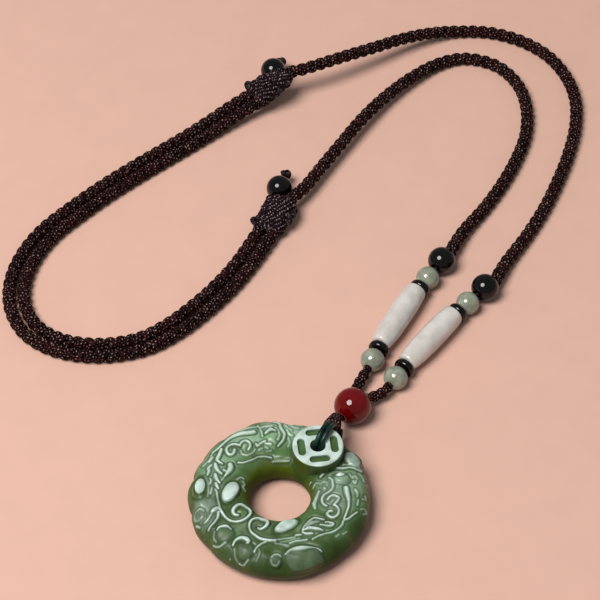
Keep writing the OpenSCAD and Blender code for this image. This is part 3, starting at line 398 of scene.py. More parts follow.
def skin(points, closed_length=None):
    """A closed surface over a grid of points [row, column]. Columns run round and close on themselves.
    Rows close into a ring where its length for the UV is given, or else a fan round a middle point closes
    each end. Returns points, faces as corners with a repeated last corner for triangles, and the UV of
    each corner, in millimetres along and turns round."""
    rows, columns = points.shape[:2]
    is_ring = closed_length is not None
    steps = np.arange(rows if is_ring else rows - 1)
    i, j = (k.ravel() for k in np.meshgrid(steps, np.arange(columns), indexing="ij"))
    down, right = (i + 1) % rows * columns, (j + 1) % columns
    faces = np.stack([i * columns + j, down + j, down + right, i * columns + right], 1)
    middles = points.mean(1)
    along = travelled(middles)
    along = np.arange(rows + 1) * closed_length / rows if is_ring else np.r_[along, along[-1] + 1]
    turns = np.arange(columns + 1) / columns
    corners = ((0, 0), (1, 0), (1, 1), (0, 1))
    uv = np.stack([np.stack([along[i + di], turns[j + dj]], 1) for di, dj in corners], 1)
    flat = points.reshape(-1, 3)
    if not is_ring:
        k = np.arange(columns)
        ahead = (k + 1) % columns
        first, last = np.full(columns, len(flat)), np.full(columns, len(flat) + 1)
        end = (rows - 1) * columns
        faces = np.vstack([faces, np.stack([first, k, ahead, ahead], 1),
                           np.stack([last, end + ahead, end + k, end + k], 1)])
        flat = np.vstack([flat, middles[:1], middles[-1:]])
        cap = np.stack([np.zeros((columns, 2))] * 4, 1)
        cap[:, 1:, 1] = turns[:-1, None]
        far = cap.copy()
        far[:, :, 0] = along[rows - 1]
        uv = np.vstack([uv, cap, far])
    return flat, faces, uv


def joined(shells):
    """Several closed surfaces as one."""
    points, faces, uvs = zip(*shells)
    start = np.cumsum([0] + [len(p) for p in points[:-1]])
    return np.vstack(points), np.vstack([f + n for f, n in zip(faces, start)]), np.vstack(uvs)


def mesh_of(name, shell):
    """A mesh of the shell's points and faces, turned so that its faces point outwards."""
    points, faces, uv = shell
    p, q, r, s = (points[faces[:, k]] for k in range(4))
    volume = np.einsum("ij,ij->", p, np.cross(q, r)) + np.einsum("ij,ij->", p, np.cross(r, s))
    if volume < 0:
        faces, uv = faces[:, [0, 3, 2, 1]], uv[:, [0, 3, 2, 1]]
    keep = np.ones(faces.shape, bool)
    keep[:, 1:] = faces[:, 1:] != faces[:, :-1]
    keep[:, 3] &= faces[:, 3] != faces[:, 0]
    sizes = keep.sum(1)
    mesh = bpy.data.meshes.new(name)
    mesh.vertices.add(len(points))
    mesh.vertices.foreach_set("co", (points * MM).astype(np.float32).ravel())
    mesh.loops.add(int(sizes.sum()))
    mesh.loops.foreach_set("vertex_index", faces[keep].astype(np.int32))
    mesh.polygons.add(len(faces))
    mesh.polygons.foreach_set("loop_start", np.r_[0, np.cumsum(sizes)[:-1]].astype(np.int32))
    mesh.uv_layers.new(name="UVMap").data.foreach_set("uv", uv[keep].astype(np.float32).ravel())
    mesh.update(calc_edges=True)
    mesh.validate()
    mesh.shade_smooth()
    return mesh


def place(name, shape, look, slot, *nodes):
    """Puts a finished piece, given as a shell or a mesh, into the scene in place of its CAD nodes."""
    mesh = shape if isinstance(shape, bpy.types.Mesh) else mesh_of(name, shape)
    piece = bpy.data.objects.new(name, mesh)
    bpy.context.scene.collection.objects.link(piece)
    mesh.materials.append(finish(look))
    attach(piece, "root")
    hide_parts(*nodes)
    return piece


def framed(path, level=(0, 0, 1)):
    """Unit vectors along a path, to its left and up from it, with `level` as the way up."""
    along = unit(np.gradient(path, axis=0))
    side = unit(np.cross(np.array(level, float), along))
    return along, side, np.cross(along, side)


def rounds(middles, radii, side, rise, columns):
    """Sections along a line: each is its middle and, at every angle a, radius (cos a side + sin a rise).
    Radii are one number, one for each middle, or one for each middle and angle."""
    if np.ndim(radii) < 2:
        radii = np.reshape(radii, (-1, 1))
    radii = np.broadcast_to(radii, (len(middles), columns))
    a = around(columns)[None, :, None]
    return middles[:, None] + radii[..., None] * (np.cos(a) * side[:, None] + np.sin(a) * rise[:, None])


def tube(path, radii, columns, level=(0, 0, 1)):
    """A round tube: a circle of each place's radius, square to the path."""
    return rounds(path, radii, *framed(path, level)[1:], columns)


def braid(path, diameter, pitch, step, columns, taper=((0, 1), (1, 1))):
    """Four strands plaited round a path. Two strands turn left and two turn right, once in each pitch, at
    a distance from the path that swells and sinks twice a turn, so that each strand passes over the next
    and under the one after. A strand's section is an oval, wide round the cord and thin outward from it.
    The taper holds shares of the length and the thickness there. The cord's heading rolls the crossings."""
    path = even(path, step)
    s = travelled(path)
    radius = diameter / 2 * np.interp(s / s[-1], *taper)
    along, side, rise = framed(path)
    turn = 2 * np.pi * s / pitch
    roll = np.arctan(np.tan(CROSSING_TILT) * along[:, 0] / np.hypot(along[:, 0], along[:, 1]))
    shells = []
    for way, start in ((1, 0), (1, np.pi), (-1, 0), (-1, np.pi)):
        angle = way * turn + start + roll
        out = np.cos(angle)[:, None] * side + np.sin(angle)[:, None] * rise
        reach = radius * (STRAND_OUT + STRAND_SWING * way * np.cos(2 * turn))
        middle = path + reach[:, None] * out
        forward = unit(np.gradient(middle, axis=0))
        across = unit(np.cross(forward, out))
        thin = STRAND_THIN * np.cross(across, forward)
        shells.append(skin(rounds(middle, radius, STRAND_WIDE * across, thin, columns)))
    return joined(shells)


def wound(start, end, radii, turns, stations, columns, strands=1, bulge=0.14, rounded=False):
    """Turns of cord wound tight round a straight line. The radius goes evenly from the first to the last
    and dips between turns by the size of a sine, whose crests climb as they go round, one for each strand.
    Where the ends are rounded, smooth steps narrow them."""
    path = np.linspace(start, end, stations)
    t = np.linspace(0, 1, stations)[:, None]
    crest = np.abs(np.sin(np.pi * (turns * t + strands * np.arange(columns) / columns)))
    radius = (radii[0] * (1 - t) + radii[1] * t) * (0.86 + bulge * crest)
    if rounded:
        radius = radius * smoothstep(-0.10, 0.06, t) * smoothstep(1.10, 0.95, t)
    return tube(path, radius, columns)


def turned(outline, columns, middle, direction):
    """A turned piece: a closed outline of [place along the axis, radius] carried round the axis."""
    outline = np.asarray(outline, float)
    direction = unit(np.asarray(direction, float))
    side = unit(np.cross([0, 0, 1.0] if abs(direction[2]) < 0.9 else [1.0, 0, 0], direction))
    middles = np.asarray(middle) + outline[:, :1] * direction
    points = rounds(middles, outline[:, 1], side[None], np.cross(direction, side)[None], columns)
    return skin(points, closed_length=10)


def drilled_round(diameter):
    """Outline of a round drilled bead: an arc between its hole's edges, a softened edge and the bore."""
    r, bore = diameter / 2, DRILL_D / 2
    edge = np.arcsin((bore + HOLE_EDGE) / r)
    a = np.linspace(edge, np.pi - edge, 40)
    lip = r * np.cos(edge) - 0.12
    bores = np.stack([np.linspace(-lip + 0.25, lip - 0.25, 5), np.full(5, bore)], 1)
    arc = np.stack([r * np.cos(a), r * np.sin(a)], 1)
    return np.vstack([arc, [[-lip, bore + 0.05]], bores, [[lip, bore + 0.05]]])


def spacer_outline():
    """Outline of a spacer: a rounded rim, from the power 0.8 of a cosine, and a bore with softened edges."""
    a = np.linspace(-np.pi / 2, np.pi / 2, 17)
    half, bore = SPACER_T / 2, DRILL_D / 2
    rim = np.stack([half * np.sin(a), SPACER_D / 2 - SPACER_RIM + SPACER_RIM * np.cos(a) ** 0.8], 1)[::-1]
    return np.vstack([rim, [[-half, bore + 0.1], [0.1 - half, bore], [half - 0.1, bore], [half, bore + 0.1]]])


def barrel_outline():
    """Outline of a barrel: it narrows from its middle by a power of the place along it, with soft ends."""
    s = np.linspace(1, -1, 61)
    end, power = np.where(s[:, None] > 0, BARREL["high"], BARREL["low"]).T
    soft = BARREL["soft"] * smoothstep(0.96, 1.0, np.abs(s))
    radius = BARREL["middle"] / 2 - (BARREL["middle"] - end) / 2 * np.abs(s) ** power - soft
    half = BARREL["length"] / 2
    bore = np.stack([np.linspace(-half, half, 9), np.full(9, DRILL_D / 2)], 1)
    return np.vstack([np.stack([s * half, radius], 1), bore])


def leg_place(leg, reach, height):
    """The place and the direction on a leg's arc, `reach` along it from its low green bead."""
    start, heading, radius = LEGS[leg]
    bend = reach / radius
    turn = np.radians(heading) - bend / 2
    flat = HANG_AT + start + 2 * radius * np.sin(bend / 2) * np.array([np.cos(turn), np.sin(turn)])
    away = np.radians(heading) - bend
    return np.array([*flat, FLOOR_Z + height]), np.array([np.cos(away), np.sin(away), 0])


def lying(places, diameter=4.0):
    """Floor places [x, y, lift] as the middle of a cord that lies there."""
    return np.asarray(places, float) + [*HANG_AT, FLOOR_Z + diameter / 2]


def knot_height(knot, x):
    """Height of a sliding knot's middle above the floor at x: it climbs evenly along the knot."""
    return WRAP_H / 2 + knot["lift"] + knot["rise"] * (x / WRAP_L + 0.5)


def from_knot(knot, points):
    """Points in a sliding knot's own frame, X along the passing cord and Y to its left, at its place."""
    c, s = np.cos(np.radians(knot["turn"])), np.sin(np.radians(knot["turn"]))
    x, y, z = np.moveaxis(np.asarray(points, float), -1, 0)
    at = HANG_AT + knot["at"]
    return np.stack([at[0] + x * c - y * s, at[1] + x * s + y * c, FLOOR_Z + z], -1)


def in_knot(knot, along, side):
    """A cord's middle line in a sliding knot: side 1 is the ending cord on its left, -1 the passing cord."""
    x = np.array(along)
    return from_knot(knot, np.stack([x, np.full(len(x), side * CORD_PITCH / 2), knot_height(knot, x)], 1))


def beside(offset):
    """The doubled run's middle line moved sideways by offset."""
    run = np.asarray(DOUBLE_RUN, float)
    ahead = np.gradient(run, axis=0)
    ahead[[0, -1]] = run[[1, -1]] - run[[0, -2]]
    ahead = unit(ahead)
    return lying(run + offset * np.stack([-ahead[:, 1], ahead[:, 0], 0 * ahead[:, 0]], 1))


def cord_route(leg, lead, knot, run, last_knot):
    """The middle line of a neck cord, from its leg through one sliding knot and into the other."""
    start = leg_place(leg, LEG_HIGH + STAND, THREAD_H)[0]
    through, into = in_knot(KNOTS[knot], THROUGH, -1), in_knot(KNOTS[last_knot], INTO, 1)
    return flowing(np.vstack([start, lying(lead), through, run, into]), 0.5)


def tail_of(knot):
    """Where a cord's tail starts in its sliding knot, and the direction from there to its end bead."""
    start = np.array([TAIL_FROM, CORD_PITCH / 2, knot_height(knot, INTO[-1])])
    return start, unit(np.array(knot["bead"]) - start)


def wrap_outline(knot, x):
    """A sliding knot's outline at x: a taut band round two circles, one on the passing cord and one on the
    cord that ends there, whose circle narrows to the tail and then to the passing cord."""
    start, direction = tail_of(knot)
    out = start + direction * (knot["out"] - start[0]) / direction[0]
    near = CORD_PITCH / 2, knot_height(knot, -WRAP_L / 2), WRAP_H / 2
    leaving = out[1], out[2], TAIL_BAND_R
    far = (-CORD_PITCH / 2, knot_height(knot, WRAP_L / 2), WRAP_H / 2) if knot["out"] < EARLY else leaving
    stations = [-WRAP_L / 2, knot["out"], WRAP_L / 2 + 0.01]
    y, z, r = (np.interp(x, stations, values) for values in zip(near, leaving, far))
    first, second = np.array([-CORD_PITCH / 2, knot_height(knot, x)]), np.array([y, z])
    a = np.linspace(0, 2 * np.pi, 361)
    n = np.stack([np.cos(a), np.sin(a)], 1)
    further = (n @ second + r) > (n @ first + WRAP_H / 2)
    edge = np.where(further[:, None], second + r * n, first + WRAP_H / 2 * n)
    length = travelled(edge)
    return resampled(edge, length, np.linspace(0, length[-1], WRAP_COLUMNS, endpoint=False))


def wrap_shell(knot, pitch):
    """A sliding knot's wound turns over its taut band. The outline is drawn in where a sine of the place
    along plus the share of a turn is small, so turns bulge and slant, and again by a finer sine for the
    plait. The ends are rounded by a smooth step."""
    share = np.arange(WRAP_COLUMNS) / WRAP_COLUMNS
    rows = []
    for at in np.linspace(-WRAP_L / 2, WRAP_L / 2, WRAP_ROWS):
        edge = wrap_outline(knot, at)
        middle = edge.mean(0)
        ridge = np.abs(np.sin(np.pi * (at / pitch + share)))
        plait = np.abs(np.sin(np.pi * (at / pitch * 0.5 + PLAIT_ROUNDS * share)))
        ease = 1 - END_SHARE * (1 - smoothstep(0, END_LENGTH, min(at + WRAP_L / 2, WRAP_L / 2 - at)))
        inward = TURN_DEPTH * (1 - ridge) + PLAIT_DEPTH * (1 - plait)
        section = middle + (edge - middle) * ease - inward[:, None] * unit(edge - middle)
        rows.append(np.c_[np.full(WRAP_COLUMNS, at), section])
    return skin(from_knot(knot, np.array(rows)))


def side_loop(knot, at, side, reach, lift):
    """A loop of winding cord at a sliding knot's side: half a sine that starts and ends inside the knot."""
    a = np.linspace(0, np.pi, 16)
    y = CORD_PITCH / 2 + WRAP_H / 2 - SIDE_LOOP_SUNK + (reach + SIDE_LOOP_OUT) * np.sin(a)
    z = knot_height(knot, at) + lift + SIDE_LOOP_RISE * np.sin(a)
    arch = np.stack([at - SIDE_LOOP_HALF * np.cos(a), side * y, z], 1)
    return skin(from_knot(knot, tube(arch, SIDE_LOOP_R, THREAD_COLUMNS)))


def stopper_shell(centre):
    """A stopper: one cord tied as a trefoil that winds twice round while it crosses over three times."""
    a = around(140)
    ring = TREFOIL["radius"] + TREFOIL["swing"] * np.cos(3 * a)
    line = np.stack([ring * np.cos(2 * a), ring * np.sin(2 * a), TREFOIL["height"] * np.sin(3 * a)], 1)
    ahead = unit(np.roll(line, -1, 0) - np.roll(line, 1, 0))
    out = unit(line - 0.5 * ahead * (line * ahead).sum(1, keepdims=True))
    across = unit(np.cross(ahead, out))
    points = rounds(line, TREFOIL["cord"], across, np.cross(across, ahead), THREAD_COLUMNS)
    return skin(centre + points, closed_length=14)


def oval(xy, middle, long, wide, turn):
    """Distance from an oval's middle as a share of its edge's distance."""
    c, s = np.cos(np.radians(turn)), np.sin(np.radians(turn))
    u, v = (xy - middle).T
    return np.hypot((u * c + v * s) / long, (v * c - u * s) / wide)


def broad(xy, ovals):
    """The strongest of some soft ovals, each of which fades by the square of the distance from its middle."""
    return np.max([tone * np.clip(1 - oval(xy, middle, long, wide, turn) ** 2, 0, 1)
                   for middle, long, wide, turn, tone in ovals], axis=0)


def carve(xy):
    """Height and colour of the carving at places on the face. Soft swellings and the burr's waves lie
    under everything. A line is a ridge with a flat top whose sides fall off by a smooth step of the
    distance to it, in a shallow groove and on a low wide skirt; a boss is an oval dome or flat; where they
    meet the higher one stands. Returns height in relief depths, paleness as a painted highlight on the tops
    and a painted sheen on the skirts, and depth of groove, which is also painted as shade."""
    height, pale, groove, ground, swell = (np.zeros(len(xy)) for _ in range(5))
    for middle, long, wide, turn, tall in BODY_SWELLS:
        ground += tall * np.clip(1 - oval(xy, middle, long, wide, turn) ** 2, 0, 1) ** 2
    # the burr's slight unevenness, in waves 3 to 6 mm long
    x, y = xy.T
    waves = np.sin(1.3 * x + 0.6 * y) + np.sin(1.1 * y - 1.7 * x + 2) + np.sin(2.1 * y + 0.8 * x + 4)
    ground += WAVE_HIGH * waves
    for middle, long, wide, turn, tall, tone, flat in CARVED_BOSSES:
        q = oval(xy, middle, long, wide, turn)
        dome = np.sqrt(np.clip(1 - q * q, 0, 1)) ** (1 - 0.9 * flat)
        dome *= smoothstep(0, 0.45, (1 - q) * min(long, wide))
        height = np.maximum(height, tall * dome * (q < 1))
        pale = np.maximum(pale, tone * smoothstep(1.0, 0.88, q))
        rim = (q - RIM_AT) * min(long, wide)
        groove = np.maximum(groove, np.exp(-(rim / RIM_HALF) ** 2) * (q > 0.98) * RIM_CUT)
    for widths, tall, tone, points in CARVED_LINES:
        line = flowing(points, 0.1)
        half = np.interp(np.linspace(0, 1, len(line)), np.linspace(0, 1, len(widths)), widths) / 2
        half = np.maximum(LINE_SHARE * half, FINEST_LINE / 2)
        reach = 1.6 + half.max()
        near = np.flatnonzero(np.all((xy > line.min(0) - reach) & (xy < line.max(0) + reach), axis=1))
        gaps = np.sqrt(((xy[near, None] - line[None]) ** 2).sum(2)) - half
        gap = gaps.min(1)
        wide = half[gaps.argmin(1)]
        ridge = tall * np.minimum(RIDGE_LEAST + RIDGE_SLOPE * wide, RIDGE_MOST)
        ridge = ridge * smoothstep(SIDE_REACH, -0.5 * wide, gap)
        cut = np.exp(-((gap - CUT_AT) / CUT_HALF) ** 2) * min(1.0, tall)
        skirt = tall * smoothstep(SKIRT_REACH, 0.1, gap)
        # painted highlight on the line's top
        top = tone * smoothstep(PALE_REACH, -0.55 * wide, gap)
        for field, value in ((height, ridge), (swell, skirt), (pale, top), (groove, cut)):
            field[near] = np.maximum(field[near], value)
    groove = groove * (1 - np.clip(pale * 1.2, 0, 1))
    # the skirts round the lines take a faint painted sheen
    return height + ground + SKIRT_HIGH * swell, np.maximum(pale, 0.13 * swell * (1 - groove)), groove


def ring_shell(relief):
    """The ring: a rounded band section carried round the hole's axis. Its face is pushed out along its own
    normal by the carving's height and in by its grooves, and its side wall swells where the head and the
    leaf stand out, by a bell curve of the angle."""
    ground = TOP_Z - relief

    def corner(across, up, r, start, step):
        a = np.radians(start - 90 * np.linspace(0, 1, max(3, int(r * np.pi / 2 / step)) + 1))
        return np.stack([across + r * np.cos(a), up + r * np.sin(a)], 1)

    inner, outer = HOLE_R + INNER_ROUND, RING_R - OUTER_ROUND
    upper = np.vstack([[[HOLE_R, 0]], corner(inner, ground - INNER_ROUND, INNER_ROUND, 180, FACE_STEP),
                       corner(outer, ground - OUTER_ROUND, OUTER_ROUND, 90, FACE_STEP), [[RING_R, -0.3]]])
    lower = np.vstack([[[RING_R, -0.3]], corner(outer, FLOOR_Z + OUTER_ROUND, OUTER_ROUND, 0, BACK_STEP),
                       corner(inner, FLOOR_Z + INNER_ROUND, INNER_ROUND, 270, BACK_STEP), [[HOLE_R, 0]]])
    section = np.vstack([even(upper, FACE_STEP)[:-1], even(lower, BACK_STEP)[:-1]])
    following = np.roll(section, -1, 0) - np.roll(section, 1, 0)
    normal = unit(np.stack([-following[:, 1], following[:, 0]], 1))
    a = around(RING_COLUMNS)
    out = np.stack([np.cos(a), np.sin(a)], 1)
    flat = section[:, 0, None, None] * out
    height, _, groove = carve(flat.reshape(-1, 2))
    face = smoothstep(0.05, 0.45, normal[:, 1])[:, None]
    push = face * relief * (height - CUT_DEEP * groove).reshape(flat.shape[:2])
    # two passes of blurring take the grid's steps out of the steep sides
    for _ in range(2):
        push = (np.roll(push, 1, 1) + 2 * push + np.roll(push, -1, 1)) / 4
        push[1:-1] = (push[:-2] + 2 * push[1:-1] + push[2:]) / 4
    degrees = np.degrees(a)
    swell = sum(size * np.exp(-((degrees - at) / width) ** 2) for at, width, size in SIDE_SWELLS)
    swell = swell * smoothstep(RING_R - 5, RING_R, section[:, 0])[:, None]
    radius = section[:, 0, None] + normal[:, 0, None] * push + swell
    z = section[:, 1, None] + normal[:, 1, None] * push
    return skin(np.concatenate([radius[..., None] * out, z[..., None]], 2), closed_length=10)


def coin_shell():
    """The coin: a turned disc with a softened rim, sunk halfway into the ring."""
    a = np.radians(np.linspace(0, 90, 6))
    rim = np.stack([COIN_TOP - COIN_BEVEL * (1 - np.sin(a)), COIN_R - COIN_BEVEL * (1 - np.cos(a))], 1)
    outline = np.vstack([[[0, 0.02], [0, COIN_R * 0.9], [0.4, COIN_R]], rim, [[COIN_TOP, 0.02]]])
    return turned(outline, COIN_COLUMNS, [*COIN_AT, 0], [0, 0, 1])


def prism(outline, low, high, taper=0.0):
    """A straight-walled cutter over a flat outline, a little wider at its top."""
    middle = outline.mean(0)
    return skin(np.stack([np.c_[outline, np.full(len(outline), low)],
                          np.c_[middle + (outline - middle) * (1 + taper), np.full(len(outline), high)]]))


def ring_cutters():
    """Cutters for the hole through the coin, the coin's four slots and the groove under the ring."""
    a = around(64)
    hole = COIN_AT + COIN_HOLE_R * np.stack([np.cos(a), np.sin(a)], 1)
    cutters = [prism(hole, FLOOR_Z - 1, COIN_TOP + 1, 0.01)]
    r, run = SLOT["width"] / 2, (SLOT["length"] - SLOT["width"]) / 2
    b = np.linspace(0, np.pi, 13)
    end = np.stack([r * np.cos(b), run + r * np.sin(b)], 1)
    stadium = np.vstack([end, -end]) + [SLOT["orbit"], 0]
    for k in range(4):
        t = np.radians(SLOT["turn"] + 90 * k)
        turn = np.array([[np.cos(t), np.sin(t)], [-np.sin(t), np.cos(t)]])
        cutters.append(prism(COIN_AT + stadium @ turn, COIN_TOP - SLOT["depth"], COIN_TOP + 1, 0.1))
    w = GROOVE["width"] / 2
    box = np.array([[-w, -w], [RING_R, -w], [RING_R, w], [-w, w]])
    turn = np.array([LOOP_DIR[:2], [-LOOP_DIR[1], LOOP_DIR[0]]])
    cutters.append(prism(COIN_AT + box @ turn, FLOOR_Z - 1, FLOOR_Z + GROOVE["depth"], -0.1))
    return cutters


def worked(blank, added, cut):
    """The blank with some shells added and others cut away, as one closed mesh."""
    def stand_in(shell, name):
        one = bpy.data.objects.new(name, mesh_of(name, shell))
        bpy.context.scene.collection.objects.link(one)
        return one

    piece = stand_in(blank, "blank")
    tools = [(stand_in(s, "added"), "UNION") for s in added]
    tools += [(stand_in(s, "cutter"), "DIFFERENCE") for s in cut]
    for tool, operation in tools:
        step = piece.modifiers.new("work", "BOOLEAN")
        step.operation, step.object, step.solver = operation, tool, "MANIFOLD"
    seen = bpy.context.evaluated_depsgraph_get()
    mesh = bpy.data.meshes.new_from_object(piece.evaluated_get(seen))
    for one in [piece] + [tool for tool, _ in tools]:
        leftover = one.data
        bpy.data.objects.remove(one)
        bpy.data.meshes.remove(leftover)
    mesh.materials.clear()
    if len(mesh.vertices) < len(blank[0]) * 0.5:
        raise RuntimeError("the ring's coin and holes could not be worked")
    return mesh


def tint(mesh):
    """Stores painted light and shade on the jade at each vertex: pale for painted highlights and sheens, from
    the carving on the face, full on the coin's flat top, and without carving on the walls and under the ring;
    deep for painted shade, a painted green sheen, and olive in the hole's wall and low on the side."""
    def read(what):
        values = np.empty(len(mesh.vertices) * 3, np.float32)
        mesh.vertices.foreach_get(what, values)
        return values.reshape(-1, 3)

    points, up = read("co") / MM, read("normal")[:, 2]
    flat, z = points[:, :2], points[:, 2]
    _, pale, groove = carve(flat)
    open_ground = 1 - 0.8 * groove
    # painted sheens where the bodies catch the light
    pale = np.maximum(pale, broad(flat, SHEENS) * open_ground)
    from_coin = np.hypot(*(flat - COIN_AT).T)
    from_axis = np.hypot(*flat.T)
    face = smoothstep(0.15, 0.6, up) * (z > 0)
    in_coin = from_coin < COIN_R + 0.05
    # painted highlight on the coin's flat top, and painted shade on its side and in the carving's grooves
    top = smoothstep(COIN_TOP - 0.35, COIN_TOP - 0.08, z)
    pale = np.where(in_coin, top, pale * face)
    deep = np.where(in_coin, 0.3 * (1 - top), groove * face)
    # painted shade: the foot of the coin and the hole's wall lie in shade, and are painted darker
    deep = np.maximum(deep, 0.8 * np.exp(-((from_coin - COIN_R - 0.3) / 0.5) ** 2) * (z < COIN_TOP - 1))
    # painted light and shade: the hole's wall is painted olive for the glow of light through the stone, and
    # the low side is painted darker and more olive as shade
    low = smoothstep(RING_R - 5.5, RING_R - 0.5, from_axis) * smoothstep(4.6, -1.0, z)
    wall = np.maximum(smoothstep(HOLE_R + 2.6, HOLE_R + 0.2, from_axis), 0.3 * low)
    # painted shade on the ring's lower and right side
    shade = broad(flat, SHADES) * smoothstep(-4.5, -1.0, z)
    deep = np.clip(np.maximum(deep, np.maximum(0.6 * low, shade)), 0, 1)
    # painted light green sheen where the bodies catch the light
    green_sheen = np.where(in_coin, 0, broad(flat, GREEN_SHEENS) * open_ground * face)
    for name, values in (("pale", pale), ("deep", deep), ("wall", wall), ("green_sheen", green_sheen)):
        mesh.attributes.new(name, "FLOAT", "POINT").data.foreach_set("value", values.astype(np.float32))


def to_linear(code):
    """An sRGB hex colour as linear red, green, blue and alpha."""
    c = np.array([int(code[i:i + 2], 16) for i in (1, 3, 5)]) / 255
    return (*np.where(c <= 0.04045, c / 12.92, ((c + 0.055) / 1.055) ** 2.4), 1.0)


def paint(name):
    """One of the pendant's colours, linear."""
    return to_linear(getattr(bpy.context.scene.pendant_colours, name))


# The output that a node feeds on from, where that isn't its first: a Mix's colour and an Attribute's number
FEEDS = {"ShaderNodeMix": 2, "ShaderNodeAttribute": 2}


def add(tree, kind, inputs=(), stops=(), **settings):
    """Adds a node to a material. An input is a value, or a node or socket that feeds it. Stops fill a
    ramp."""
    made = tree.nodes.new("ShaderNode" + kind)
    for name, value in settings.items():
        setattr(made, name, value)
    for name, value in dict(inputs).items():
        if isinstance(value, bpy.types.Node):
            value = value.outputs[FEEDS.get(value.bl_idname, 0)]
        if isinstance(value, bpy.types.NodeSocket):
            tree.links.new(value, made.inputs[name])
        else:
            made.inputs[name].default_value = value
    for k, (share, colour) in enumerate(stops):
        element = made.color_ramp.elements[k] if k < 2 else made.color_ramp.elements.new(share)
        element.position, element.color = share, colour
    return made


def material(name):
    """Makes a named material with an empty node tree, and returns what adds a node to it."""
    made = bpy.data.materials.new(name)
    made.use_nodes = True
    made.node_tree.nodes.clear()
    return partial(add, made.node_tree)


def carved_nephrite(name):
    """Nephrite, carved with burrs and wax polished: cloudy green that lets light in a little, glossy on the
    flats that the polish reached and dull in the cut grooves where it did not, with painted highlights on
    the flats and painted shade in the grooves."""
    node = material(name)
    spot = node("TexCoord").outputs["Object"]
    # clouds 12 mm across and veins 3 mm across, as in river jade
    cloud = node("TexNoise", {"Vector": spot, "Scale": 75.0, "Detail": 3.0, "Roughness": 0.5})
    vein = node("TexNoise", {"Vector": spot, "Scale": 330.0, "Detail": 4.0, "Roughness": 0.6})
    both = node("Math", {0: cloud, 1: vein}, operation="ADD")
    half = node("Math", {0: both, 1: 0.5}, operation="MULTIPLY")
    tone = node("ValToRGB", {"Fac": half},
                [(0.38, paint("jade_dark")), (0.62, paint("jade_light")), (0.5, paint("jade_body"))])
    wall, green_sheen, deep, pale = (node("Attribute", attribute_name=a) for a in ("wall", "green_sheen", "deep", "pale"))
    # the painted highlight on the flats is broken into patches of about 3 mm
    highlight_noise = node("TexNoise", {"Vector": spot, "Scale": 330.0, "Detail": 2.0})
    highlight_patches = node("MapRange", {"Value": highlight_noise, "From Min": 0.35, "From Max": 0.6, "To Min": 0.68, "To Max": 1.0})
    reach = node("Math", {0: pale, 1: highlight_patches}, operation="MULTIPLY")
    # painted light and shade over the clouds: olive glow and shade, green sheen, shade, and highlight on the
    # flats
    layers = ((wall, "jade_wall"), (green_sheen, "jade_painted_sheen"), (deep, "jade_painted_shade"), (reach, "jade_painted_highlight"))
    for share, colour in layers:
        tone = node("Mix", {0: share, 6: tone, 7: paint(colour)}, data_type="RGBA")
    # only the face is wax polished; the grooves, the hole's wall and the lower side stay dull
    dull = node("Math", {0: deep, 1: wall}, operation="MAXIMUM")
    rough = node("MapRange", {"Value": dull, "To Min": 0.33, "To Max": 0.6})
    gloss = node("MapRange", {"Value": dull, "To Min": 0.4, "To Max": 0.08})
    coat = node("MapRange", {"Value": dull, "To Min": 0.07, "To Max": 0.0})
    ripple = node("Bump", {"Height": vein, "Strength": 0.12, "Distance": 0.0002})
    shader = node("BsdfPrincipled", {
        "Base Color": tone, "Roughness": rough, "IOR": 1.61, "Normal": ripple, "Specular IOR Level": gloss,
        "Subsurface Weight": 0.12, "Subsurface Radius": (0.8, 1.0, 0.6), "Subsurface Scale": 0.0012,
        "Coat Weight": coat, "Coat Roughness": 0.14})
    node("OutputMaterial", {"Surface": shader})


def polished_stone(name, stops, scale, ior, roughness, subsurface=0.0, glow=(1.0, 0.5, 0.4), gloss=0.5,
                   flats=0.0):
    """A tumbled and polished bead stone: clouds of the given size through the stone, and a hard gloss,
    which slight flats about 3 mm across break up where `flats` is above 0."""
    node = material(name)
    spot = node("TexCoord").outputs["Object"]
    cloud = node("TexNoise", {"Vector": spot, "Scale": scale, "Detail": 4.0, "Roughness": 0.6})
    body = node("ValToRGB", {"Fac": cloud}, [(at, paint(colour)) for at, colour in stops])
    facet = node("TexNoise", {"Vector": spot, "Scale": 280.0, "Detail": 0.0})
    bump = node("Bump", {"Height": facet, "Strength": flats, "Distance": 0.0012})
    shader = node("BsdfPrincipled", {
        "Base Color": body, "Roughness": roughness, "IOR": ior, "Subsurface Weight": subsurface,
        "Subsurface Radius": glow, "Subsurface Scale": 0.002, "Specular IOR Level": gloss, "Normal": bump})
    node("OutputMaterial", {"Surface": shader})


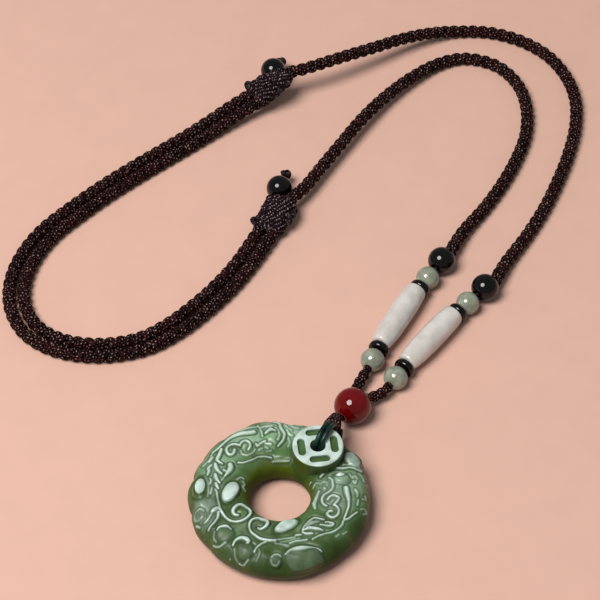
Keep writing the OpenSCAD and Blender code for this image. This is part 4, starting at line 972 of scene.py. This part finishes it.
def plaited_polyester(name, warm, fleck, stitch, count, share, stray):
    """Filament polyester, twisted and plaited by hand: nearly black, with a glint where each twist turns
    its filaments to the light. A glint is drawn for every `stitch` millimetres along and `count` times
    round, far coarser than the filaments, so that it shows. They stray from their rows by `stray`, and
    some are left out, as in work done by hand."""
    node = material(name)
    coordinates = node("TexCoord")
    spot = coordinates.outputs["Object"]
    uv = node("SeparateXYZ", {0: coordinates.outputs["UV"]})
    waver = node("TexNoise", {"Vector": spot, "Scale": 420.0, "Detail": 1.0})
    drift = node("Math", {0: waver, 1: stray}, operation="MULTIPLY")
    along = node("Math", {0: uv, 1: 2 * np.pi / stitch, 2: drift}, operation="MULTIPLY_ADD")
    half = node("Math", {0: along, 1: 0.5}, operation="MULTIPLY")
    across = node("Math", {0: uv.outputs[1], 1: 2 * np.pi * count, 2: half}, operation="MULTIPLY_ADD")
    first, second = (node("Math", {0: wave}, operation="SINE") for wave in (along, across))
    stitches = node("Math", {0: first, 1: second}, operation="MULTIPLY")
    patch = node("TexNoise", {"Vector": spot, "Scale": 900.0, "Detail": 2.0})
    glint = node("Math", {0: patch, 1: 1.6, 2: stitches}, operation="MULTIPLY_ADD")
    few = node("MapRange", {"Value": glint, "From Min": 1.30 - share, "From Max": 1.62 - share})
    tone = node("TexNoise", {"Vector": spot, "Scale": 260.0})
    body = node("ValToRGB", {"Fac": tone}, [(0.4, paint("cord_dark")), (0.65, paint(warm))])
    colour = node("Mix", {0: few, 6: body, 7: paint(fleck)}, data_type="RGBA")
    bump = node("Bump", {"Height": stitches, "Strength": 0.7, "Distance": 0.00015})
    shader = node("BsdfPrincipled", {"Base Color": colour, "Roughness": 0.55, "IOR": 1.5,
                                     "Specular IOR Level": 0.05, "Normal": bump})
    node("OutputMaterial", {"Surface": shader})


def satin_cord(name):
    """Waxed satin cord, drawn and twisted: smooth and dark green, with a long soft highlight."""
    node = material(name)
    coordinates = node("TexCoord")
    uv = node("SeparateXYZ", {0: coordinates.outputs["UV"]})
    along = node("Math", {0: uv, 1: 1.6}, operation="MULTIPLY")
    slant = node("Math", {0: uv.outputs[1], 1: 4.0, 2: along}, operation="MULTIPLY_ADD")
    turn = node("Math", {0: slant, 1: 2 * np.pi}, operation="MULTIPLY")
    ply = node("Math", {0: turn}, operation="SINE")
    tone = node("TexNoise", {"Vector": coordinates.outputs["Object"], "Scale": 500.0})
    body = node("ValToRGB", {"Fac": tone}, [(0.35, paint("strand_dark")), (0.7, paint("strand_green"))])
    bump = node("Bump", {"Height": ply, "Strength": 0.1, "Distance": 0.00004})
    shader = node("BsdfPrincipled", {"Base Color": body, "Roughness": 0.32, "IOR": 1.5,
                                     "Specular IOR Level": 0.25, "Normal": bump})
    node("OutputMaterial", {"Surface": shader})


def matt_paper(name):
    """Uncoated paper: an even pale tone with a faint fibre mottle about 8 mm across."""
    node = material(name)
    mottle = node("TexNoise", {"Vector": node("TexCoord").outputs["Object"], "Scale": 120.0})
    base = paint("floor")
    tone = node("ValToRGB", {"Fac": mottle}, [(0.3, (*(0.97 * c for c in base[:3]), 1)), (0.7, base)])
    shader = node("BsdfPrincipled", {"Base Color": tone, "Roughness": 0.8, "Specular IOR Level": 0.2})
    node("OutputMaterial", {"Surface": shader})


# What makes each finish. A cord's glints have their warm ground, colour, size along, number round, share and
# stray, and a stone has its colours, cloud scale, index of refraction and roughness
FINISHES = {
    "nephrite_carved_polished": carved_nephrite,
    "satin_cord_twisted": satin_cord,
    "paper_backdrop_matt": matt_paper,
    "polyester_braid": partial(plaited_polyester, warm="cord_warm", fleck="cord_fleck",
                               stitch=1.5, count=5, share=-0.17, stray=1.0),
    "polyester_knot": partial(plaited_polyester, warm="knot_warm", fleck="knot_fleck",
                              stitch=1.3, count=17, share=-0.12, stray=14.0),
    "polyester_small_knot": partial(plaited_polyester, warm="knot_warm", fleck="cord_fleck",
                                    stitch=0.9, count=14, share=-0.12, stray=8.0),
    # dyed agate: deep red that glows on the side away from the light
    "red_agate_tumbled": partial(
        polished_stone, stops=[(0.3, "agate_dark"), (0.7, "agate_red")], scale=60.0, ior=1.54,
        roughness=0.05, subsurface=0.8, glow=(2.0, 0.1, 0.06), gloss=0.35),
    # mottled grey green, in clouds 2.5 mm across
    "green_jadeite_tumbled": partial(
        polished_stone, stops=[(0.35, "green_dark"), (0.65, "green_light")], scale=400.0, ior=1.66,
        roughness=0.12, subsurface=0.25, glow=(0.8, 1.0, 0.7)),
    # milky stone, turned and tumbled, so its gloss is broken by slight flats
    "white_jade_turned": partial(
        polished_stone, stops=[(0.38, "white_dark"), (0.62, "white_light")], scale=160.0, ior=1.61,
        roughness=0.16, subsurface=0.5, glow=(1.0, 0.9, 0.8), gloss=0.6, flats=0.35),
    # black agate: opaque, with a mirror gloss and faint brown bands
    "black_agate_tumbled": partial(
        polished_stone, stops=[(0.4, "black_stone"), (0.7, "black_band")], scale=120.0, ior=1.54,
        roughness=0.05, gloss=0.34),
}


def finish(name):
    """The named finish, made the first time that it is asked for."""
    if name not in bpy.data.materials:
        FINISHES[name](name)
    return bpy.data.materials[name]


class PendantSizes(bpy.types.PropertyGroup):
    """Sizes of the dressing that the CAD part leaves open."""
    relief: FloatProperty(name="Relief", description="Height of the carving above its ground", default=0.0009,
                          min=0.0004, max=0.0014, unit="LENGTH")
    cord_diameter: FloatProperty(name="Cord diameter", description="Diameter of the braided neck cords",
                                 default=0.004, min=0.0034, max=0.0042, unit="LENGTH")
    braid_pitch: FloatProperty(name="Braid pitch",
                               description="Length of one full turn of a strand in the cords",
                               default=0.0062, min=0.004, max=0.008, unit="LENGTH")
    wrap_pitch: FloatProperty(name="Wrap pitch", description="Distance between turns of a sliding knot",
                              default=0.002, min=0.0012, max=0.003, unit="LENGTH")
    light_height: FloatProperty(name="Light distance", description="Distance of the main light", default=1.1,
                                min=0.5, max=3.0, unit="LENGTH")


def swatch(name, description, code):
    """A colour that a user may change, as a property."""
    return StringProperty(name=name, description=description, default=code)


class PendantColours(bpy.types.PropertyGroup):
    """Colours as sRGB hex codes."""
    jade_body: swatch("Jade", "Green of the carved jade", "#415a2d")
    jade_dark: swatch("Jade, dark clouds", "Darker clouds in the jade", "#30461b")
    jade_light: swatch("Jade, light clouds", "Lighter clouds in the jade", "#4c6c3d")
    # Painted light and shade: the green sheen where the bodies catch the light, the shade in grooves and low
    # on the ring, the highlight on the flats, and the olive glow in the hole's wall with shade low on the
    # side
    jade_painted_sheen: swatch("Jade haze", "Jade where its haze is thick", "#a2cca6")
    jade_painted_shade: swatch("Jade grooves", "Jade deep in the cuts", "#2a3f1b")
    jade_painted_highlight: swatch("Jade flats", "Jade on its polished flats", "#bccfc8")
    jade_wall: swatch("Jade hole wall", "Jade in the hole's wall", "#48550f")
    agate_red: swatch("Red agate", "Red bead", "#7a0507")
    agate_dark: swatch("Red agate, dark", "Dark clouds of the red bead", "#4a0203")
    green_light: swatch("Green stone", "Green beads", "#93998a")
    green_dark: swatch("Green stone, dark", "Dark clouds of green beads", "#767a6a")
    white_light: swatch("White jade", "Barrel beads", "#ccc8c4")
    white_dark: swatch("White jade clouds", "Clouds in barrel beads", "#beb9b3")
    black_stone: swatch("Black agate", "Black beads", "#040303")
    black_band: swatch("Black agate bands", "Bands in black beads", "#0c0807")
    cord_dark: swatch("Cord", "Cord in shade", "#110405")
    cord_warm: swatch("Cord, warm", "Cord where it is lighter", "#22080a")
    knot_warm: swatch("Knot, warm", "Knots where they are lighter", "#190b12")
    cord_fleck: swatch("Cord glints", "Glints on the cord", "#8f766d")
    knot_fleck: swatch("Knot glints", "Glints on the knots", "#8c7c80")
    strand_dark: swatch("Loop, dark", "Hanging loop in shade", "#07100e")
    strand_green: swatch("Loop, green", "Hanging loop", "#153a30")
    floor: swatch("Floor", "Colour of the floor", "#cfa797")


class PENDANT_OT_ring(bpy.types.Operator):
    """Carve the jade ring with its coin, slots and holes"""
    bl_idname = "pendant.ring"
    bl_label = "Jade ring"

    def execute(self, context):
        mesh = worked(ring_shell(context.scene.pendant_sizes.relief / MM), [coin_shell()], ring_cutters())
        mesh.shade_smooth()
        mesh.set_sharp_from_angle(angle=np.radians(50))
        tint(mesh)
        place("carved_ring", mesh, "nephrite_carved_polished", "jade", "jade_ring")
        return {"FINISHED"}


class PENDANT_OT_hanging_loop(bpy.types.Operator):
    """Lay the two strands of the hanging loop and wind its knot"""
    bl_idname = "pendant.hanging_loop"
    bl_label = "Hanging loop"

    def execute(self, context):
        for name, way in (("left", -1), ("right", 1)):
            middle = np.array([*COIN_AT, 0]) + way * STRAND_PITCH / 2 * LOOP_SIDE
            line = middle + LOOP_ROUTE[:, :1] * LOOP_DIR + LOOP_ROUTE[:, 1:] * [0, 0, 1]
            shell = skin(tube(flowing(line, 0.3), STRAND_D / 2, 16, LOOP_SIDE))
            place("loop_cord_" + name, shell, "satin_cord_twisted", "loop_cord", "loop_strand_" + name)
        knot_to = RED_AT + (RED_D / 2 + GAP + KNOT_END) * unit(np.array(KNOT_OUT))
        points = wound(KNOT_FROM, knot_to, KNOT_RADII, turns=6, stations=90, columns=48, bulge=0.17,
                       rounded=True)
        place("wound_loop_knot", skin(points), "polyester_small_knot", "wound_knot", "loop_knot")
        return {"FINISHED"}


class PENDANT_OT_red_bead(bpy.types.Operator):
    """Turn the red agate bead and run its thread"""
    bl_idname = "pendant.red_bead"
    bl_label = "Red bead"

    def execute(self, context):
        away = np.array([np.cos(RED_TURN), np.sin(RED_TURN), 0])
        shell = turned(drilled_round(RED_D), RED_COLUMNS, RED_AT, away)
        place("red_agate_bead", shell, "red_agate_tumbled", "red_agate", "red_bead")
        half = RED_D / 2 + GAP
        line = np.linspace(RED_AT - half * away, RED_AT + half * away, 12)
        thread = tube(line, THREAD_D / 2, THREAD_COLUMNS)
        place("red_bead_thread", skin(thread), "polyester_braid", "braided_cord", "red_bead_cord")
        return {"FINISHED"}


class PENDANT_OT_leg_beads(bpy.types.Operator):
    """Turn the green, black and white beads of both legs and run their threads"""
    bl_idname = "pendant.leg_beads"
    bl_label = "Leg beads"

    def execute(self, context):
        green = drilled_round(GREEN_D), "green_jadeite_tumbled", "green_stone"
        spacer = spacer_outline(), "black_agate_tumbled", "black_stone"
        # Each piece's name, its place along the leg and its height
        kinds = [
            ("green_bead_low", 0, 3.4, green),
            ("spacer_low", 4.55, 3.15, spacer),
            ("barrel", 17.35, 3.6, (barrel_outline(), "white_jade_turned", "white_jade")),
            ("spacer_high", 30.15, 3.15, spacer),
            ("green_bead_high", 34.7, 3.4, green),
            ("black_bead", 42.25, 4.0, (drilled_round(BLACK_D), "black_agate_tumbled", "black_stone")),
        ]
        for leg in LEGS:
            for kind, reach, height, (outline, stone, slot) in kinds:
                node = leg + "_" + kind
                shell = turned(outline, BEAD_COLUMNS, *leg_place(leg, reach, height))
                place("turned_" + node, shell, stone, slot, node)
            line = np.array([leg_place(leg, r, THREAD_H)[0] for r in np.linspace(LEG_LOW, LEG_HIGH, 60)])
            shell = skin(tube(line, THREAD_D / 2, THREAD_COLUMNS))
            place("strung_" + leg, shell, "polyester_braid", "braided_cord", leg + "_thread")
        return {"FINISHED"}


class PENDANT_OT_short_braids(bpy.types.Operator):
    """Plait the two short braids between the red bead and the legs"""
    bl_idname = "pendant.short_braids"
    bl_label = "Short braids"

    def execute(self, context):
        for leg, (away, places) in BRAIDS.items():
            start = RED_AT + (RED_D / 2 + STAND) * unit(np.array(away))
            end = leg_place(leg, LEG_LOW - STAND, THREAD_H)[0]
            path = flowing(np.vstack([start, lying(places, BRAID_D), end]), 0.2)
            shell = braid(path, BRAID_D, BRAID_PITCH, step=0.2, columns=12, taper=BRAID_TAPER)
            place("plaited_" + leg, shell, "polyester_braid", "braided_cord", leg + "_braid")
        return {"FINISHED"}


class PENDANT_OT_sliding_knots(bpy.types.Operator):
    """Wind the two sliding knots, their tails, end beads and stopper knots"""
    bl_idname = "pendant.sliding_knots"
    bl_label = "Sliding knots"

    def execute(self, context):
        pitch = context.scene.pendant_sizes.wrap_pitch / MM
        for name, knot in KNOTS.items():
            shell = joined([wrap_shell(knot, pitch)] + [side_loop(knot, *loop) for loop in SIDE_LOOPS])
            place("wound_" + name, shell, "polyester_knot", "wound_knot", name + "_wrap")
            start, direction = tail_of(knot)
            bead = np.array(knot["bead"])
            tip = bead - direction * (END_BEAD_D / 2 - TAIL_SUNK)
            radii = TAIL_D / 2, TAIL_TIP_D / 2
            points = wound(start, tip, radii, turns=7, stations=70, columns=24, strands=2)
            shell = skin(from_knot(knot, points))
            place("tail_" + name, shell, "polyester_knot", "wound_knot", name + "_end_neck")
            middle = from_knot(knot, bead)
            toward = from_knot(knot, bead + direction) - middle
            shell = turned(drilled_round(END_BEAD_D), BEAD_COLUMNS, middle, toward)
            place("tail_bead_" + name, shell, "black_agate_tumbled", "black_stone", name + "_end_bead")
            shell = stopper_shell(middle + toward * (END_BEAD_D / 2 + GAP + STOPPER_D / 2))
            place("stopper_" + name, shell, "polyester_knot", "wound_knot", name + "_end_knot")
        return {"FINISHED"}


class PENDANT_OT_neck_cords(bpy.types.Operator):
    """Plait the two neck cords and lay them through the sliding knots"""
    bl_idname = "pendant.neck_cords"
    bl_label = "Neck cords"

    def execute(self, context):
        sizes = context.scene.pendant_sizes
        outer = cord_route("right", OUTER_LEAD, "back", beside(CORD_PITCH / 2), "front")
        inner = cord_route("left", INNER_LEAD, "front", beside(-CORD_PITCH / 2)[::-1], "back")
        for node, far, route in (("outer_cord", "front", outer), ("inner_cord", "back", inner)):
            shell = braid(route, sizes.cord_diameter / MM, sizes.braid_pitch / MM, step=0.24, columns=7)
            cord = place("plaited_" + node, shell, "polyester_braid", "braided_cord", node)
        return {"FINISHED"}


class PENDANT_OT_stage(bpy.types.Operator):
    """Set the floor, the lights and the camera"""
    bl_idname = "pendant.stage"
    bl_label = "Stage"

    def execute(self, context):
        scene = context.scene
        scene.view_settings.view_transform = "Standard"
        floor = bpy.data.meshes.new("floor")
        corners = ((-1, -1), (1, -1), (1, 1), (-1, 1))
        z = FLOOR_Z * MM - FLOOR_DROP
        floor.from_pydata([(FLOOR_HALF * x, FLOOR_HALF * y, z) for x, y in corners], [], [(0, 1, 2, 3)])
        floor.materials.append(finish("paper_backdrop_matt"))
        ground = bpy.data.objects.new("floor", floor)
        scene.collection.objects.link(ground)

        lamp = bpy.data.lights.new("key", "AREA")
        lamp.shape, lamp.size, lamp.energy, lamp.color = "DISK", KEY["size"], KEY["power"], KEY["colour"]
        key = bpy.data.objects.new("key", lamp)
        way = Vector(KEY["way"]).normalized()
        key.location = AIM + way * scene.pendant_sizes.light_height
        key.rotation_euler = way.to_track_quat("Z", "Y").to_euler()
        room = bpy.data.worlds.new("studio")
        room.use_nodes = True
        light = room.node_tree.nodes["Background"].inputs
        light[0].default_value, light[1].default_value = ROOM["colour"], ROOM["strength"]
        scene.world = room

        lens = bpy.data.cameras.new("camera")
        lens.lens, lens.sensor_width = CAMERA["lens"], CAMERA["sensor"]
        camera = bpy.data.objects.new("camera", lens)
        camera.location = CAMERA["at"]
        camera.rotation_euler = (CAMERA["tilt"], 0, 0)
        scene.camera = camera
        for one in (key, camera):
            scene.collection.objects.link(one)
        return {"FINISHED"}


STEPS = [PENDANT_OT_ring, PENDANT_OT_hanging_loop, PENDANT_OT_red_bead, PENDANT_OT_leg_beads,
         PENDANT_OT_short_braids, PENDANT_OT_sliding_knots, PENDANT_OT_neck_cords, PENDANT_OT_stage]


class PENDANT_PT_sidebar(bpy.types.Panel):
    """Sizes, colours and the steps that build the pendant"""
    bl_idname = "PENDANT_PT_sidebar"
    bl_label = "Jade pendant"
    bl_space_type = "VIEW_3D"
    bl_region_type = "UI"
    bl_category = "Jade pendant"

    def draw(self, context):
        for group in (context.scene.pendant_sizes, context.scene.pendant_colours):
            for name in group.__annotations__:
                self.layout.prop(group, name)
        for step in STEPS:
            self.layout.operator(step.bl_idname)


CLASSES = [PendantSizes, PendantColours, *STEPS, PENDANT_PT_sidebar]


def register():
    for one in CLASSES:
        bpy.utils.register_class(one)
    bpy.types.Scene.pendant_sizes = PointerProperty(type=PendantSizes)
    bpy.types.Scene.pendant_colours = PointerProperty(type=PendantColours)


def unregister():
    del bpy.types.Scene.pendant_colours
    del bpy.types.Scene.pendant_sizes
    for one in reversed(CLASSES):
        bpy.utils.unregister_class(one)


def main():
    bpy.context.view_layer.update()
    register()
    for step in STEPS:
        group, name = step.bl_idname.split(".")
        getattr(getattr(bpy.ops, group), name)()


if __name__ == "__main__":
    main()
